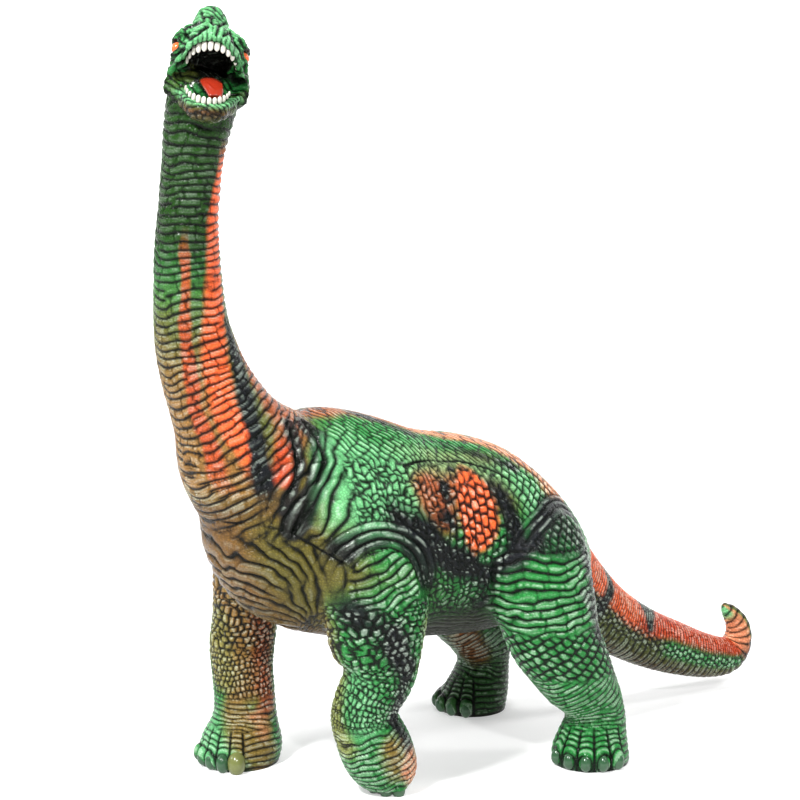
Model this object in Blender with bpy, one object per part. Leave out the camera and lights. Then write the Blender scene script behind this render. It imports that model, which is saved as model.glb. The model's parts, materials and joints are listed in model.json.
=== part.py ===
"""A painted soft-vinyl toy sauropod, standing, with its neck raised and its mouth open.

Units are metres. The animal faces -Y, its left side is +X and its feet stand on z = 0.
The body is shaped from lofts that run through measured stations, fused into one skin and
then parted by thin cuts into the pieces that a person would name.
"""

import math

import bmesh
import bpy
import numpy as np
from mathutils import Matrix, Vector

MM = 0.001
GAP = 0.3 * MM

# Stations are in millimetres, before the whole toy is moved over its origin.
# Torso: sideways centre, y, lowest z, highest z, half width
TORSO = [
    (-5, -158, 168, 188, 10),
    (-5, -151, 144.5, 205.5, 27),
    (-5, -136, 121.5, 224.5, 42),
    (-5, -110, 105, 237.5, 55),
    (-4, -80, 95, 243.5, 63),
    (-2, -45, 88, 236.5, 68),
    (0, -10, 85, 224, 69),
    (3, 25, 83, 218, 69),
    (5, 55, 86, 207.5, 65),
    (7, 80, 92, 188, 58),
    (7, 99, 99, 167, 47),
    (6, 116, 103, 144.5, 31),
    (5, 125, 108, 129.5, 16),
]
# Neck and tail: centre x, y, z and radius
NECK = [
    (-4, -80, 174, 52),
    (-5, -112, 195, 49),
    (-5, -136, 220.5, 42),
    (-4.5, -149.5, 244.5, 31.5),
    (-5, -160, 267, 27),
    (-4, -167, 286, 24.8),
    (-1, -172, 304.5, 22.5),
    (2, -175, 327.5, 20.8),
    (7, -178, 351, 19.3),
    (12, -179, 375, 17.8),
    (17, -179, 398.5, 17.8),
    (20, -178, 415.5, 19.2),
    (22.5, -175.5, 431, 20.6),
    (24, -173, 442, 19.6),
    (27, -171, 452, 15),
]
TAIL = [
    (6, 84, 134.5, 36),
    (5, 104, 115, 33),
    (4, 125, 97, 29),
    (3, 148, 79, 25.5),
    (2, 172, 64, 22.8),
    (2, 197, 50.5, 21.3),
    (3, 224, 39, 20),
    (4, 251, 29, 17.5),
    (4, 275, 23, 15),
    (4, 288, 23.5, 12.5),
    (4, 295.5, 33.5, 11),
    (3, 295, 45.5, 9.2),
    (1, 288, 55.5, 7),
    (0, 284, 59.5, 4.5),
]
# Legs: centre x, y, z, half width across the animal, half depth along it
LEG_FRONT_RIGHT = [
    (-38, -92, 170, 28, 36),
    (-48, -97, 144.5, 27.5, 34.5),
    (-56, -101, 116.5, 23, 26),
    (-59, -103, 99, 21, 22.5),
    (-61, -105, 79, 21.5, 22),
    (-60.5, -105, 59.5, 20, 20.5),
    (-60, -104, 43.5, 20, 20.5),
    (-60, -104, 29.5, 21, 22),
    (-59.5, -106, 16, 25.5, 27),
    (-60, -108, 6, 26.5, 27),
    (-60, -108, -3, 25.5, 26),
]
LEG_FRONT_LEFT = [
    (34, -78, 168, 28, 38),
    (42, -73, 146.5, 29, 36),
    (46, -70, 124.5, 28, 34),
    (47, -69, 103, 26, 33),
    (47.5, -66.5, 87, 23, 26),
    (47.5, -69.5, 75, 21.5, 22.5),
    (45.5, -76, 63.5, 19.5, 21),
    (43, -79, 51.5, 18.5, 19.5),
    (43, -73, 39.5, 20.5, 22.5),
    (43, -66, 25.5, 22, 23),
    (43, -59, 13, 20, 20),
    (42, -55, 4, 14, 14),
]
LEG_HIND_LEFT = [
    (44, 54, 156.5, 28, 38),
    (57, 50, 138.5, 31, 38),
    (68, 48, 116.5, 31, 35),
    (73, 52, 93, 29, 32),
    (75, 61, 76, 27, 28.5),
    (76, 71, 60.5, 25, 25.5),
    (76.5, 83, 44.5, 20, 20.5),
    (76, 88, 30.5, 19.5, 20),
    (76, 86, 17, 23, 23.5),
    (76, 84, 6, 25.5, 26.5),
    (76, 84, -3, 24.5, 25.5),
]
LEG_HIND_RIGHT = [
    (-30, 60, 154.5, 30, 38),
    (-43, 56, 136.5, 31, 36),
    (-53, 57, 114.5, 29, 33),
    (-58, 67, 93, 27, 29),
    (-59.5, 79, 75, 26, 27),
    (-59, 90, 60.5, 23, 24),
    (-59, 96, 47.5, 20.5, 21.5),
    (-60, 98, 34.5, 18.5, 19),
    (-60, 94, 18, 21, 22.5),
    (-60, 89, 6, 23, 24.5),
    (-60, 89, -3, 22, 23.5),
]
# Bulges: centre, half sizes along x, y and z, and the tilt about x in degrees
BULGES = [
    ((30, -72, 164), (36, 44, 54), 12),
    ((-38, -90, 164), (34, 42, 54), 8),
    ((46, 46, 138.5), (30, 38, 46), -12),
    ((-34, 52, 136.5), (30, 38, 46), -12),
]
# Flat feet: x, y of the centre, reach of the toes, heading of the middle toe and the angle
# between neighbouring toes in degrees
FEET = {
    "front_right": (-60, -108, 23, 16, 19.5),
    "hind_left": (76, 84, 21, 42, 26),
    "hind_right": (-60, 88, 21, -10, 26),
}
TOES = 5
# Toes and nails: half sizes, height of the middle and distance ahead of the toes' reach
TOE_SIZE = (9.5, 6.3, 8.0)
TOE_HEIGHT = 7.5
TOE_AHEAD = -1.5
NAIL_SIZE = (6.0, 4.4, 6.0)
NAIL_HEIGHT = 4.6
NAIL_AHEAD = 4.0
# The folded forefoot stands on its toe tips: middle of the fan, its reach, the angle between
# toes, how much shorter the fan is forwards, and how far the nails hang below the toes
FOLDED_FOOT = (43, -58, 9)
FOLDED_REACH = 13
FOLDED_FAN = 40.0
FOLDED_SQUASH = 0.75
FOLDED_TOE_SIZE = (6.2, 6.2, 10)
FOLDED_NAIL_SIZE = (4.2, 4.4, 6)
FOLDED_NAIL_DROP = 5.5
# How many of a leg's last stations also belong to its foot
ANKLE_STATIONS = 6
# How many of the neck's last stations reach into the head
NECK_STUB_STATIONS = 7

# The head's own axes run forward, left and up from the middle between the eyes
HEAD_PLACE = (33, -175, 459)
HEAD_YAW = 64.5
HEAD_PITCH = 24.0
HEAD_ROLL = -8.0
# Lumps of the head: centre and half sizes along forward, left and up
SKULL = [
    ((-8, 0, 2), (19, 19.5, 14)),
    ((-4, -1.8, 15), (13, 11.5, 17.5)),
    ((-2, -1, 9), (13, 17, 11)),
    ((6, -1.5, 9), (14, 11, 9)),
    ((15, 0, 2), (14, 12.5, 7)),
    ((15, 0, -1.5), (14.5, 14.5, 5)),
    ((6, 0, -3), (19, 18.5, 5.5)),
    ((-1, 9.5, 11.5), (11, 7.5, 7)),
    ((-1, -10.5, 11.5), (11, 7.5, 7)),
    ((0, 15, 7), (12, 7, 6)),
    ((0, -15, 7), (12, 7, 6)),
    ((-3, 14.5, -3), (14, 7, 6)),
    ((-3, -14.5, -3), (14, 7, 6)),
    ((-12, 18.5, -12), (11, 6, 12.5)),
    ((-12, -17, -13), (11, 6, 14)),
    ((-17, 0, -12), (13, 19.5, 22)),
]
# The jaw's own axes start at its hinge and drop by this angle
JAW_HINGE = (-12, 1.5, -19)
JAW_DROP = 33.0
JAW = [
    ((10, 0, -3), (24, 17, 8)),
    ((26, 0, -5), (12, 12.5, 7)),
]
# Hollows of the mouth: centre and half sizes
UPPER_MOUTH = ((11, 0, -10), (18, 13.5, 8.5))
MOUTH_CORNERS = ((0, 2, -15), (8.5, 22, 6))
JAW_BOWL = ((17, 0, 6), (18, 12.2, 9.5))
THROAT = ((-2, 0, -15), (11, 13, 11))
EYE_PLACE = (3.6, 18.7, 0.3)
EYE_RADIUS = 3.7
SOCKET_PLACE = (5.6, 20.4, 0.3)
SOCKET_RADIUS = 4.2
# Raised rims on the left of the head, mirrored to the right: the axes they are in, radius, path
RIMS = [
    ("head", 1.9, [(-4, 22.3, -10.5), (6, 18.5, -10.5), (16, 14, -8.5), (25.5, 8, -5), (28.5, 0, -4)]),
    ("jaw", 1.6, [(6, 19.5, 1.5), (14, 16.5, 2.5), (24, 13, 0.5), (33, 8, -1.5), (36.5, 0, -2.5)]),
    ("jaw", 2.6, [(7, 19.8, 0), (10, 19.8, 0.5)]),
    ("head", 1.7, [(9, 15, -9), (0, 20.5, -12), (-6, 23, -17), (-9, 22.5, -23)]),
    ("head", 1.5, [(-5, 21.6, 6.5), (3, 21, 5.3), (9, 18, 2), (14, 14.8, -2)]),
    ("head", 1.3, [(-5, 21.8, -5.5), (5, 20.4, -4.6), (11, 17, -4.2), (16, 13.2, -3.6)]),
]
# Tooth rows: count, centre of the oval, half lengths, lift forwards, half height, half width
UPPER_TEETH = (12, (5, 0.5, -11.2), 20.6, 14.6, 0.19, 4.4, 1.8)
LOWER_TEETH = (12, (14, 0, 6.2), 19.8, 13.0, -0.24, 3.0, 1.6)
TOOTH_SWEEP = 156.0
# How much smaller the last tooth of a row is than its middle one
TOOTH_TAPER = 0.35
# Tongue in the jaw's axes: forward, left, up, half width, half height
TONGUE = [
    (2, 0, 5, 5.0, 2.6),
    (10, 0.5, 6.6, 6.4, 2.8),
    (18, 1, 6.6, 6.6, 2.6),
    (25, 1.5, 5.0, 5.8, 2.2),
    (30, 2, 2.6, 3.8, 1.7),
]

# Parting cuts: a point, the direction across the cut and the half sizes of the cutting sheet
CUTS = {
    "neck_top": ((20, -178, 416.5), (0.1, 0.05, 1.0), 45, 45),
    "neck_middle": ((3, -174, 327.5), (0.12, -0.15, 1.0), 45, 45),
    "neck_root": ((-5, -142, 233.5), (0.0, -0.42, 0.91), 80, 62),
    "tail_root": ((5, 113, 111), (0.0, 0.72, -0.70), 70, 58),
    "tail_middle": ((3, 172, 64.5), (0.0, 0.84, -0.54), 45, 45),
    "tail_end": ((4, 251, 28.5), (0.0, 0.95, -0.32), 30, 30),
}
# Bells that part the legs from the body: centre of the dome, its half sizes and the height of
# the open end
CUPS = {
    "front_right": ((-58, -98, 116.5), (36, 40, 44), 60),
    "front_left": ((54, -70, 120.5), (38, 44, 44), 60),
    "hind_left": ((68, 54, 111), (42, 50, 52), 62),
    "hind_right": ((-58, 64, 107), (40, 44, 50), 50),
}
# Heights at which the feet are parted from the legs
ANKLES = {"front_right": 30, "front_left": 27, "hind_left": 30, "hind_right": 33}
# A point inside each piece of the body, by which it is named
SEEDS = {
    "neck_upper": (14, -179, 376),
    "neck_lower": (-5, -165, 277),
    "torso": (0, -10, 227.5),
    "tail_base": (3, 148, 83),
    "tail_middle": (3, 212, 44.5),
    "tail_tip": (4, 292, 33.5),
    "leg_front_right": (-60, -105, 61.5),
    "leg_front_left": (45, -75, 61.5),
    "leg_hind_left": (76, 76, 57.5),
    "leg_hind_right": (-60, 85, 61.5),
}
LEGS = {
    "front_right": LEG_FRONT_RIGHT,
    "front_left": LEG_FRONT_LEFT,
    "hind_left": LEG_HIND_LEFT,
    "hind_right": LEG_HIND_RIGHT,
}

# The jaw's cut in the head's axes: a point on it, its run forwards and up, its half sizes
JAW_CUT = ((0.5, 0, -26.5), (13, 27), 45, 15.5)
# Colour and roughness by the first word that a piece's name holds
COLOURS = {
    "eye": ((0.80, 0.16, 0.06), 0.15),
    "tongue": ((0.40, 0.05, 0.02), 0.3),
    "jaw": ((0.13, 0.25, 0.11), 0.35),
    "head": ((0.07, 0.28, 0.11), 0.35),
    "neck_upper": ((0.05, 0.21, 0.06), 0.35),
    "neck_lower": ((0.30, 0.17, 0.07), 0.35),
    "tail": ((0.50, 0.17, 0.08), 0.35),
    "front_right": ((0.26, 0.18, 0.08), 0.35),
}
BODY_GREEN = ((0.06, 0.24, 0.09), 0.35)
SHARP_ANGLE = 50.0

# Cell size of the fused skins, how often their joins are eased, and their triangles
BODY_VOXEL, BODY_EASE, BODY_TRIANGLES = 3.6 * MM, 9, 4200
FOOT_VOXEL, FOOT_EASE, FOOT_TRIANGLES = 1.8 * MM, 3, 320
HEAD_VOXEL, HEAD_EASE, HEAD_TRIANGLES = 1.3 * MM, 4, 2200
# Sides and rings of the balls
BULGE_BALL = (24, 14)
LUMP_BALL = (20, 12)
TOE_BALL = (12, 8)
NAIL_BALL = (8, 4)
TOOTH_BALL = (6, 4)
EYE_BALL = (14, 8)
# Sides of a bell, steps of its dome and the half width left open at its top
BELL_SIDES, BELL_STEPS, BELL_TIP = 20, 5, 0.08


def clear_scene():
    for obj in list(bpy.data.objects):
        bpy.data.objects.remove(obj, do_unlink=True)


def material(name, colour, roughness):
    """A plain painted-vinyl colour."""
    mat = bpy.data.materials.new(name)
    mat.use_nodes = True
    shader = mat.node_tree.nodes["Principled BSDF"]
    shader.inputs["Base Color"].default_value = (*colour, 1.0)
    shader.inputs["Roughness"].default_value = roughness
    shader.inputs["Metallic"].default_value = 0.0
    return mat


def mesh_object(name, points, faces):
    """A mesh object from points in metres, with its faces turned outwards."""
    mesh = bpy.data.meshes.new(name)
    mesh.from_pydata([tuple(p) for p in points], [], faces)
    obj = bpy.data.objects.new(name, mesh)
    bpy.context.scene.collection.objects.link(obj)
    shape = bmesh.new()
    shape.from_mesh(mesh)
    bmesh.ops.recalc_face_normals(shape, faces=shape.faces)
    shape.to_mesh(mesh)
    shape.free()
    return obj


def smooth_rows(rows, per_span):
    """Catmull-Rom rows through the given rows, per_span steps to each span."""
    rows = np.array(rows, float)
    padded = np.vstack([2 * rows[0] - rows[1], rows, 2 * rows[-1] - rows[-2]])
    out = []
    for i in range(1, len(padded) - 2):
        p0, p1, p2, p3 = padded[i - 1 : i + 3]
        for t in np.arange(per_span) / per_span:
            out.append(
                0.5 * (2 * p1 + (p2 - p0) * t + (2 * p0 - 5 * p1 + 4 * p2 - p3) * t**2
                       + (3 * p1 - p0 - 3 * p2 + p3) * t**3)
            )
    out.append(padded[-2])
    return np.array(out)


def ring_mesh(name, rings):
    """A closed tube through rings of points, with a fan over each end."""
    count = len(rings[0])
    points = [p for ring in rings for p in ring]
    points += [np.mean(rings[0], axis=0), np.mean(rings[-1], axis=0)]
    faces = []
    for i in range(len(rings) - 1):
        for j in range(count):
            k = (j + 1) % count
            a, b = i * count, (i + 1) * count
            faces.append((a + j, a + k, b + k, b + j))
    last, low, high = (len(rings) - 1) * count, len(points) - 2, len(points) - 1
    for j in range(count):
        k = (j + 1) % count
        faces.append((low, k, j))
        faces.append((high, last + j, last + k))
    return mesh_object(name, points, faces)


def torso_loft(name, per_span=5, sides=32):
    """Upright oval rings along the body."""
    angles = np.linspace(0, 2 * math.pi, sides, endpoint=False)
    rings = []
    for cx, y, low, high, half in smooth_rows(TORSO, per_span):
        x = cx + half * np.cos(angles)
        z = (low + high) / 2 + (high - low) / 2 * np.sin(angles)
        rings.append(np.stack([x, np.full(sides, y), z], axis=1) * MM)
    return ring_mesh(name, rings)


def limb_loft(name, stations, per_span=5, sides=24, side=(1.0, 0.0, 0.0)):
    """Oval rings square to a curved centre line, the first radius towards side.

    A row holds x, y, z and one or two radii.
    """
    rows = smooth_rows([(*r, r[3]) if len(r) == 4 else r for r in stations], per_span)
    centres = rows[:, :3]
    along = np.gradient(centres, axis=0)
    along /= np.linalg.norm(along, axis=1, keepdims=True)
    angles = np.linspace(0, 2 * math.pi, sides, endpoint=False)
    rings = []
    for centre, axis, (wide, deep) in zip(centres, along, rows[:, 3:5]):
        across = np.array(side) - axis * np.dot(side, axis)
        across /= np.linalg.norm(across)
        fore = np.cross(axis, across)
        ring = wide * np.outer(np.cos(angles), across) + deep * np.outer(np.sin(angles), fore)
        rings.append((centre + ring) * MM)
    return ring_mesh(name, rings)


def ball(name, centre, half, turn=None, detail=BULGE_BALL):
    """An ellipsoid from its centre and half sizes in millimetres, turned if asked."""
    shape = bmesh.new()
    bmesh.ops.create_uvsphere(shape, u_segments=detail[0], v_segments=detail[1], radius=1.0)
    mesh = bpy.data.meshes.new(name)
    shape.to_mesh(mesh)
    shape.free()
    place = Matrix.Translation(Vector(centre) * MM) @ (turn or Matrix.Identity(3)).to_4x4()
    mesh.transform(place @ Matrix.Diagonal((*[h * MM for h in half], 1.0)))
    obj = bpy.data.objects.new(name, mesh)
    bpy.context.scene.collection.objects.link(obj)
    return obj


def joined(objects, name):
    """One mesh object holding all the given closed meshes, which are removed."""
    shape = bmesh.new()
    for obj in objects:
        shape.from_mesh(obj.data)
        bpy.data.objects.remove(obj, do_unlink=True)
    mesh = bpy.data.meshes.new(name)
    shape.to_mesh(mesh)
    shape.free()
    obj = bpy.data.objects.new(name, mesh)
    bpy.context.scene.collection.objects.link(obj)
    return obj


def applied(obj):
    """The object with its modifiers baked into its mesh."""
    graph = bpy.context.evaluated_depsgraph_get()
    mesh = bpy.data.meshes.new_from_object(obj.evaluated_get(graph))
    obj.modifiers.clear()
    obj.data = mesh
    return obj


def fused(obj, voxel, ease_steps, triangles):
    """Fuses the overlapping lofts into one skin, eases the joins and thins the mesh."""
    remesh = obj.modifiers.new("fuse", "REMESH")
    remesh.mode = "VOXEL"
    remesh.voxel_size = voxel
    ease = obj.modifiers.new("ease", "SMOOTH")
    ease.factor = 0.5
    ease.iterations = ease_steps
    applied(obj)
    faces = sum(len(p.vertices) - 2 for p in obj.data.polygons)
    thin = obj.modifiers.new("thin", "DECIMATE")
    thin.ratio = min(1.0, triangles / faces)
    return applied(obj)


def boolean(obj, cutters, operation, solver="EXACT"):
    """Joins or cuts obj with a collection of closed meshes, which are then removed."""
    group = bpy.data.collections.new("tools")
    for cutter in cutters:
        cutter.hide_render = True
        cutter.display_type = "WIRE"
        group.objects.link(cutter)
    modifier = obj.modifiers.new(operation.lower(), "BOOLEAN")
    modifier.operation = operation
    modifier.operand_type = "COLLECTION"
    modifier.collection = group
    modifier.solver = solver
    applied(obj)
    for cutter in list(group.objects):
        bpy.data.objects.remove(cutter, do_unlink=True)
    bpy.data.collections.remove(group)
    return obj


def shells(obj):
    """A bmesh of the object and its closed surfaces as lists of faces, largest first."""
    shape = bmesh.new()
    shape.from_mesh(obj.data)
    seen, found = set(), []
    for face in shape.faces:
        if face in seen:
            continue
        seen.add(face)
        group, stack = [], [face]
        while stack:
            current = stack.pop()
            group.append(current)
            for edge in current.edges:
                for other in edge.link_faces:
                    if other not in seen:
                        seen.add(other)
                        stack.append(other)
        found.append(group)
    found.sort(key=len, reverse=True)
    return shape, found


def object_from_faces(name, group):
    """A new object holding one closed surface."""
    index, points, faces = {}, [], []
    for face in group:
        corners = []
        for vert in face.verts:
            if vert not in index:
                index[vert] = len(points)
                points.append(vert.co.copy())
            corners.append(index[vert])
        faces.append(tuple(corners))
    mesh = bpy.data.meshes.new(name)
    mesh.from_pydata([tuple(p) for p in points], [], faces)
    obj = bpy.data.objects.new(name, mesh)
    bpy.context.scene.collection.objects.link(obj)
    return obj


def only_largest(obj):
    """Keeps the largest closed surface, which fills sealed hollows and drops loose scraps."""
    shape, found = shells(obj)
    kept = object_from_faces(obj.name + "_kept", found[0])
    obj.data = kept.data
    shape.free()
    bpy.data.objects.remove(kept, do_unlink=True)
    return obj


def keep_side(obj, point, normal):
    """Keeps what lies on the side that the normal points to, and closes the cut."""
    shape = bmesh.new()
    shape.from_mesh(obj.data)
    geom = shape.verts[:] + shape.edges[:] + shape.faces[:]
    bmesh.ops.bisect_plane(
        shape, geom=geom, dist=1e-7, plane_co=point, plane_no=normal, clear_inner=True
    )
    rim = [edge for edge in shape.edges if edge.is_boundary]
    bmesh.ops.holes_fill(shape, edges=rim, sides=0)
    bmesh.ops.triangulate(shape, faces=[f for f in shape.faces if len(f.verts) > 4])
    bmesh.ops.recalc_face_normals(shape, faces=shape.faces)
    shape.to_mesh(obj.data)
    shape.free()
    return obj


def slab(centre, normal, half_a, half_b, side=(1, 0, 0)):
    """A cutting sheet one gap thick: centre in mm, half_a along side and half_b square to it."""
    up = Vector(normal).normalized()
    across = Vector(side)
    across = (across - up * across.dot(up)).normalized()
    turn = Matrix((across, up.cross(across), up)).transposed()
    shape = bmesh.new()
    bmesh.ops.create_cube(shape, size=2.0)
    mesh = bpy.data.meshes.new("slab")
    shape.to_mesh(mesh)
    shape.free()
    size = Matrix.Diagonal((half_a * MM, half_b * MM, GAP / 2, 1.0))
    mesh.transform(Matrix.Translation(Vector(centre) * MM) @ turn.to_4x4() @ size)
    obj = bpy.data.objects.new("slab", mesh)
    bpy.context.scene.collection.objects.link(obj)
    return obj


def heading(yaw):
    """The level direction at yaw degrees from -Y towards +X."""
    return Vector((math.sin(math.radians(yaw)), -math.cos(math.radians(yaw)), 0))


def toe_balls(foot, height, ahead, size, detail):
    """One ball on each toe of a flat foot, long axis along the toe."""
    x, y, reach, yaw, spread = foot
    up = Vector((0, 0, 1))
    made = []
    for i in range(TOES):
        out = heading(yaw + spread * (i - (TOES - 1) / 2))
        turn = Matrix((out, up.cross(out), up)).transposed()
        centre = Vector((x, y, height)) + out * (reach + ahead)
        made.append(ball("toe", centre, size, turn, detail))
    return made


def folded_balls(drop, size, detail):
    """One ball on each toe of the bent forefoot, which points down and rests on its tips."""
    made = []
    for i in range(TOES):
        out = heading(FOLDED_FAN * (i - (TOES - 1) / 2))
        out.y *= FOLDED_SQUASH
        centre = Vector(FOLDED_FOOT) + out * (FOLDED_REACH + 0.2 * drop) - Vector((0, 0, drop))
        made.append(ball("tip", centre, size, None, detail))
    return made


def body_skin():
    """Torso, neck, tail and the legs down to the ankles as one skin."""
    lofts = [torso_loft("torso_loft"), limb_loft("neck_loft", NECK), limb_loft("tail_loft", TAIL)]
    lofts += [limb_loft("leg_loft", rows) for rows in LEGS.values()]
    for centre, half, tilt in BULGES:
        lofts.append(ball("bulge", centre, half, Matrix.Rotation(math.radians(tilt), 3, "X")))
    lofts.append(ball("tail_end", TAIL[-1][:3], [TAIL[-1][3]] * 3))
    return fused(joined(lofts, "body"), BODY_VOXEL, BODY_EASE, BODY_TRIANGLES)


def foot_piece(leg):
    """The lowest length of a leg with its toes and nails, on a flat sole."""
    pieces = [limb_loft("ankle", LEGS[leg][-ANKLE_STATIONS:])]
    if leg in FEET:
        pieces += toe_balls(FEET[leg], TOE_HEIGHT, TOE_AHEAD, TOE_SIZE, TOE_BALL)
        nails = toe_balls(FEET[leg], NAIL_HEIGHT, NAIL_AHEAD, NAIL_SIZE, NAIL_BALL)
    else:
        pieces += folded_balls(0, FOLDED_TOE_SIZE, TOE_BALL)
        nails = folded_balls(FOLDED_NAIL_DROP, FOLDED_NAIL_SIZE, NAIL_BALL)
    foot = fused(joined(pieces, "foot"), FOOT_VOXEL, FOOT_EASE, FOOT_TRIANGLES)
    boolean(foot, nails, "UNION")
    only_largest(foot)
    keep_side(foot, Vector((0, 0, ANKLES[leg] * MM - GAP / 2)), (0, 0, -1))
    keep_side(foot, Vector((0, 0, 0)), (0, 0, 1))
    return foot


def head_matrix():
    """Carries forward, left and up of the head to the toy's own axes."""
    forward = heading(HEAD_YAW)
    left = Vector((0, 0, 1)).cross(forward)
    base = Matrix((forward, left, Vector((0, 0, 1)))).transposed()
    pitch = Matrix.Rotation(math.radians(-HEAD_PITCH), 3, "Y")
    roll = Matrix.Rotation(math.radians(HEAD_ROLL), 3, "X")
    return Matrix.Translation(Vector(HEAD_PLACE) * MM) @ (base @ pitch @ roll).to_4x4()


def jaw_matrix():
    """The jaw's axes within the head: dropped about the hinge."""
    drop = Matrix.Rotation(math.radians(JAW_DROP), 4, "Y")
    return Matrix.Translation(Vector(JAW_HINGE) * MM) @ drop


def lump(name, frame, centre, half, detail=LUMP_BALL):
    """An ellipsoid given in millimetres in the local axes of a frame."""
    return ball(name, frame @ (Vector(centre) * MM) / MM, half, frame.to_3x3(), detail)


def rim(frame, path, radius, side):
    """A raised rim along a path in the local axes of a frame, on its left or its right."""
    rows = [(f, side * left, up, radius) for f, left, up in path]
    obj = limb_loft("rim", rows, 3, 8, (0.0, 0.0, 1.0))
    obj.data.transform(frame)
    return obj


def tooth_row(frame, row):
    """Pegs round the front of an oval, their roots sunk into the gum."""
    count, centre, long, wide, lift, tall, thick = row
    made = []
    for i in range(count):
        share = i / (count - 1) - 0.5
        angle = math.radians(TOOTH_SWEEP * share)
        forward = long * math.cos(angle)
        place = Vector(centre) + Vector((forward, wide * math.sin(angle), lift * forward))
        size = 1.0 - 2 * TOOTH_TAPER * abs(share)
        half = (thick * size, thick * size, tall * size)
        made.append(lump("tooth", frame, place, half, TOOTH_BALL))
    return made


def head_whole(frame, jaw_frame):
    """Skull, dropped jaw, rims and the top of the neck as one skin with an open mouth."""
    lumps = [lump("skull", frame, centre, half) for centre, half in SKULL]
    lumps += [lump("jaw", jaw_frame, centre, half) for centre, half in JAW]
    for axes, radius, path in RIMS:
        for side in (1, -1):
            lumps.append(rim(frame if axes == "head" else jaw_frame, path, radius, side))
    lumps.append(limb_loft("neck_stub", NECK[-NECK_STUB_STATIONS:]))
    head = fused(joined(lumps, "head_whole"), HEAD_VOXEL, HEAD_EASE, HEAD_TRIANGLES)
    cavities = [
        lump("cavity", frame, *UPPER_MOUTH),
        lump("cavity", frame, *MOUTH_CORNERS),
        lump("cavity", jaw_frame, *JAW_BOWL),
        lump("cavity", frame, *THROAT),
    ]
    for side in (1, -1):
        x, y, z = SOCKET_PLACE
        cavities.append(lump("socket", frame, (x, side * y, z), [SOCKET_RADIUS] * 3, EYE_BALL))
    boolean(head, cavities, "DIFFERENCE")
    point, normal = CUTS["neck_top"][:2]
    up = Vector(normal).normalized()
    keep_side(only_largest(head), Vector(point) * MM + up * GAP / 2, up)
    return head


def tongue_piece(jaw_frame):
    """A tongue that lies along the jaw."""
    tongue = limb_loft("tongue", TONGUE, 2, 12, (0.0, 1.0, 0.0))
    tongue.data.transform(jaw_frame)
    return tongue


def cup(centre, half, floor):
    """A thin bell over the top of a leg, which parts the leg from the body with a round root."""
    profile = [(1.0, floor)]
    for i in range(BELL_STEPS):
        angle = math.radians(90 * i / BELL_STEPS)
        profile.append((math.cos(angle), centre[2] + half[2] * math.sin(angle)))
    profile.append((BELL_TIP, centre[2] + half[2]))
    rings = []
    for inset, rows in ((0.0, profile), (GAP / MM, profile[::-1])):
        for share, z in rows:
            wall = inset * min(1, share * 3)
            level = z - (inset if z > floor else 0)
            ring = []
            for j in range(BELL_SIDES):
                angle = 2 * math.pi * j / BELL_SIDES
                x = centre[0] + (half[0] * share - wall) * math.cos(angle)
                y = centre[1] + (half[1] * share - wall) * math.sin(angle)
                ring.append((x * MM, y * MM, level * MM))
            rings.append(ring)
    return bell_mesh("cup", rings, len(profile))


def bell_mesh(name, rings, turn):
    """Closes the outer and inner walls of a bell: caps at the top and a rim at the bottom."""
    count = len(rings[0])
    points = [p for ring in rings for p in ring]
    faces = []
    for i in range(len(rings)):
        following = (i + 1) % len(rings)
        if i == turn - 1:
            continue
        a, b = i * count, following * count
        for j in range(count):
            k = (j + 1) % count
            faces.append((a + j, a + k, b + k, b + j))
    for i in (turn - 1, turn):
        faces.append(tuple(i * count + j for j in range(count)))
    return mesh_object(name, points, faces)


def part_body(body):
    """Cuts the skin into named lengths and names each by the seed point inside it."""
    cutters = [slab(*values) for values in CUTS.values()]
    cutters += [cup(*values) for values in CUPS.values()]
    boolean(body, cutters, "DIFFERENCE")
    shape, found = shells(body)
    pieces = {}
    for name, seed in SEEDS.items():
        point = Vector(seed) * MM
        best = min(found, key=lambda g: min((f.calc_center_median() - point).length for f in g))
        pieces[name] = object_from_faces(name, best)
    shape.free()
    bpy.data.objects.remove(body, do_unlink=True)
    return pieces


def part_head(head, frame):
    """Cuts the head at the cheeks into the skull and the jaw."""
    point, along, half_a, half_b = JAW_CUT
    turn = frame.to_3x3()
    direction = Vector((along[0], 0, along[1])).normalized()
    across = turn @ Vector((-direction.z, 0, direction.x))
    centre = frame @ (Vector(point) * MM) / MM
    sheet = slab(centre, across, half_a, half_b, turn @ Vector((0, 1, 0)))
    boolean(head, [sheet], "DIFFERENCE")
    shape, found = shells(head)
    halves = [object_from_faces("half", group) for group in found[:2]]
    shape.free()
    bpy.data.objects.remove(head, do_unlink=True)
    halves.sort(key=lambda o: sum(v.co.z for v in o.data.vertices) / len(o.data.vertices))
    return halves


def eye(name, frame, side):
    """A ball set in its socket."""
    x, y, z = EYE_PLACE
    return lump(name, frame, (x, side * y, z), [EYE_RADIUS] * 3, EYE_BALL)


def grown(obj, amount):
    """A copy pushed outwards along its normals, to cut a clearance."""
    copy = obj.copy()
    copy.data = obj.data.copy()
    bpy.context.scene.collection.objects.link(copy)
    shape = bmesh.new()
    shape.from_mesh(copy.data)
    for vert in shape.verts:
        vert.co += vert.normal * amount
    shape.to_mesh(copy.data)
    shape.free()
    return copy


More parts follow.
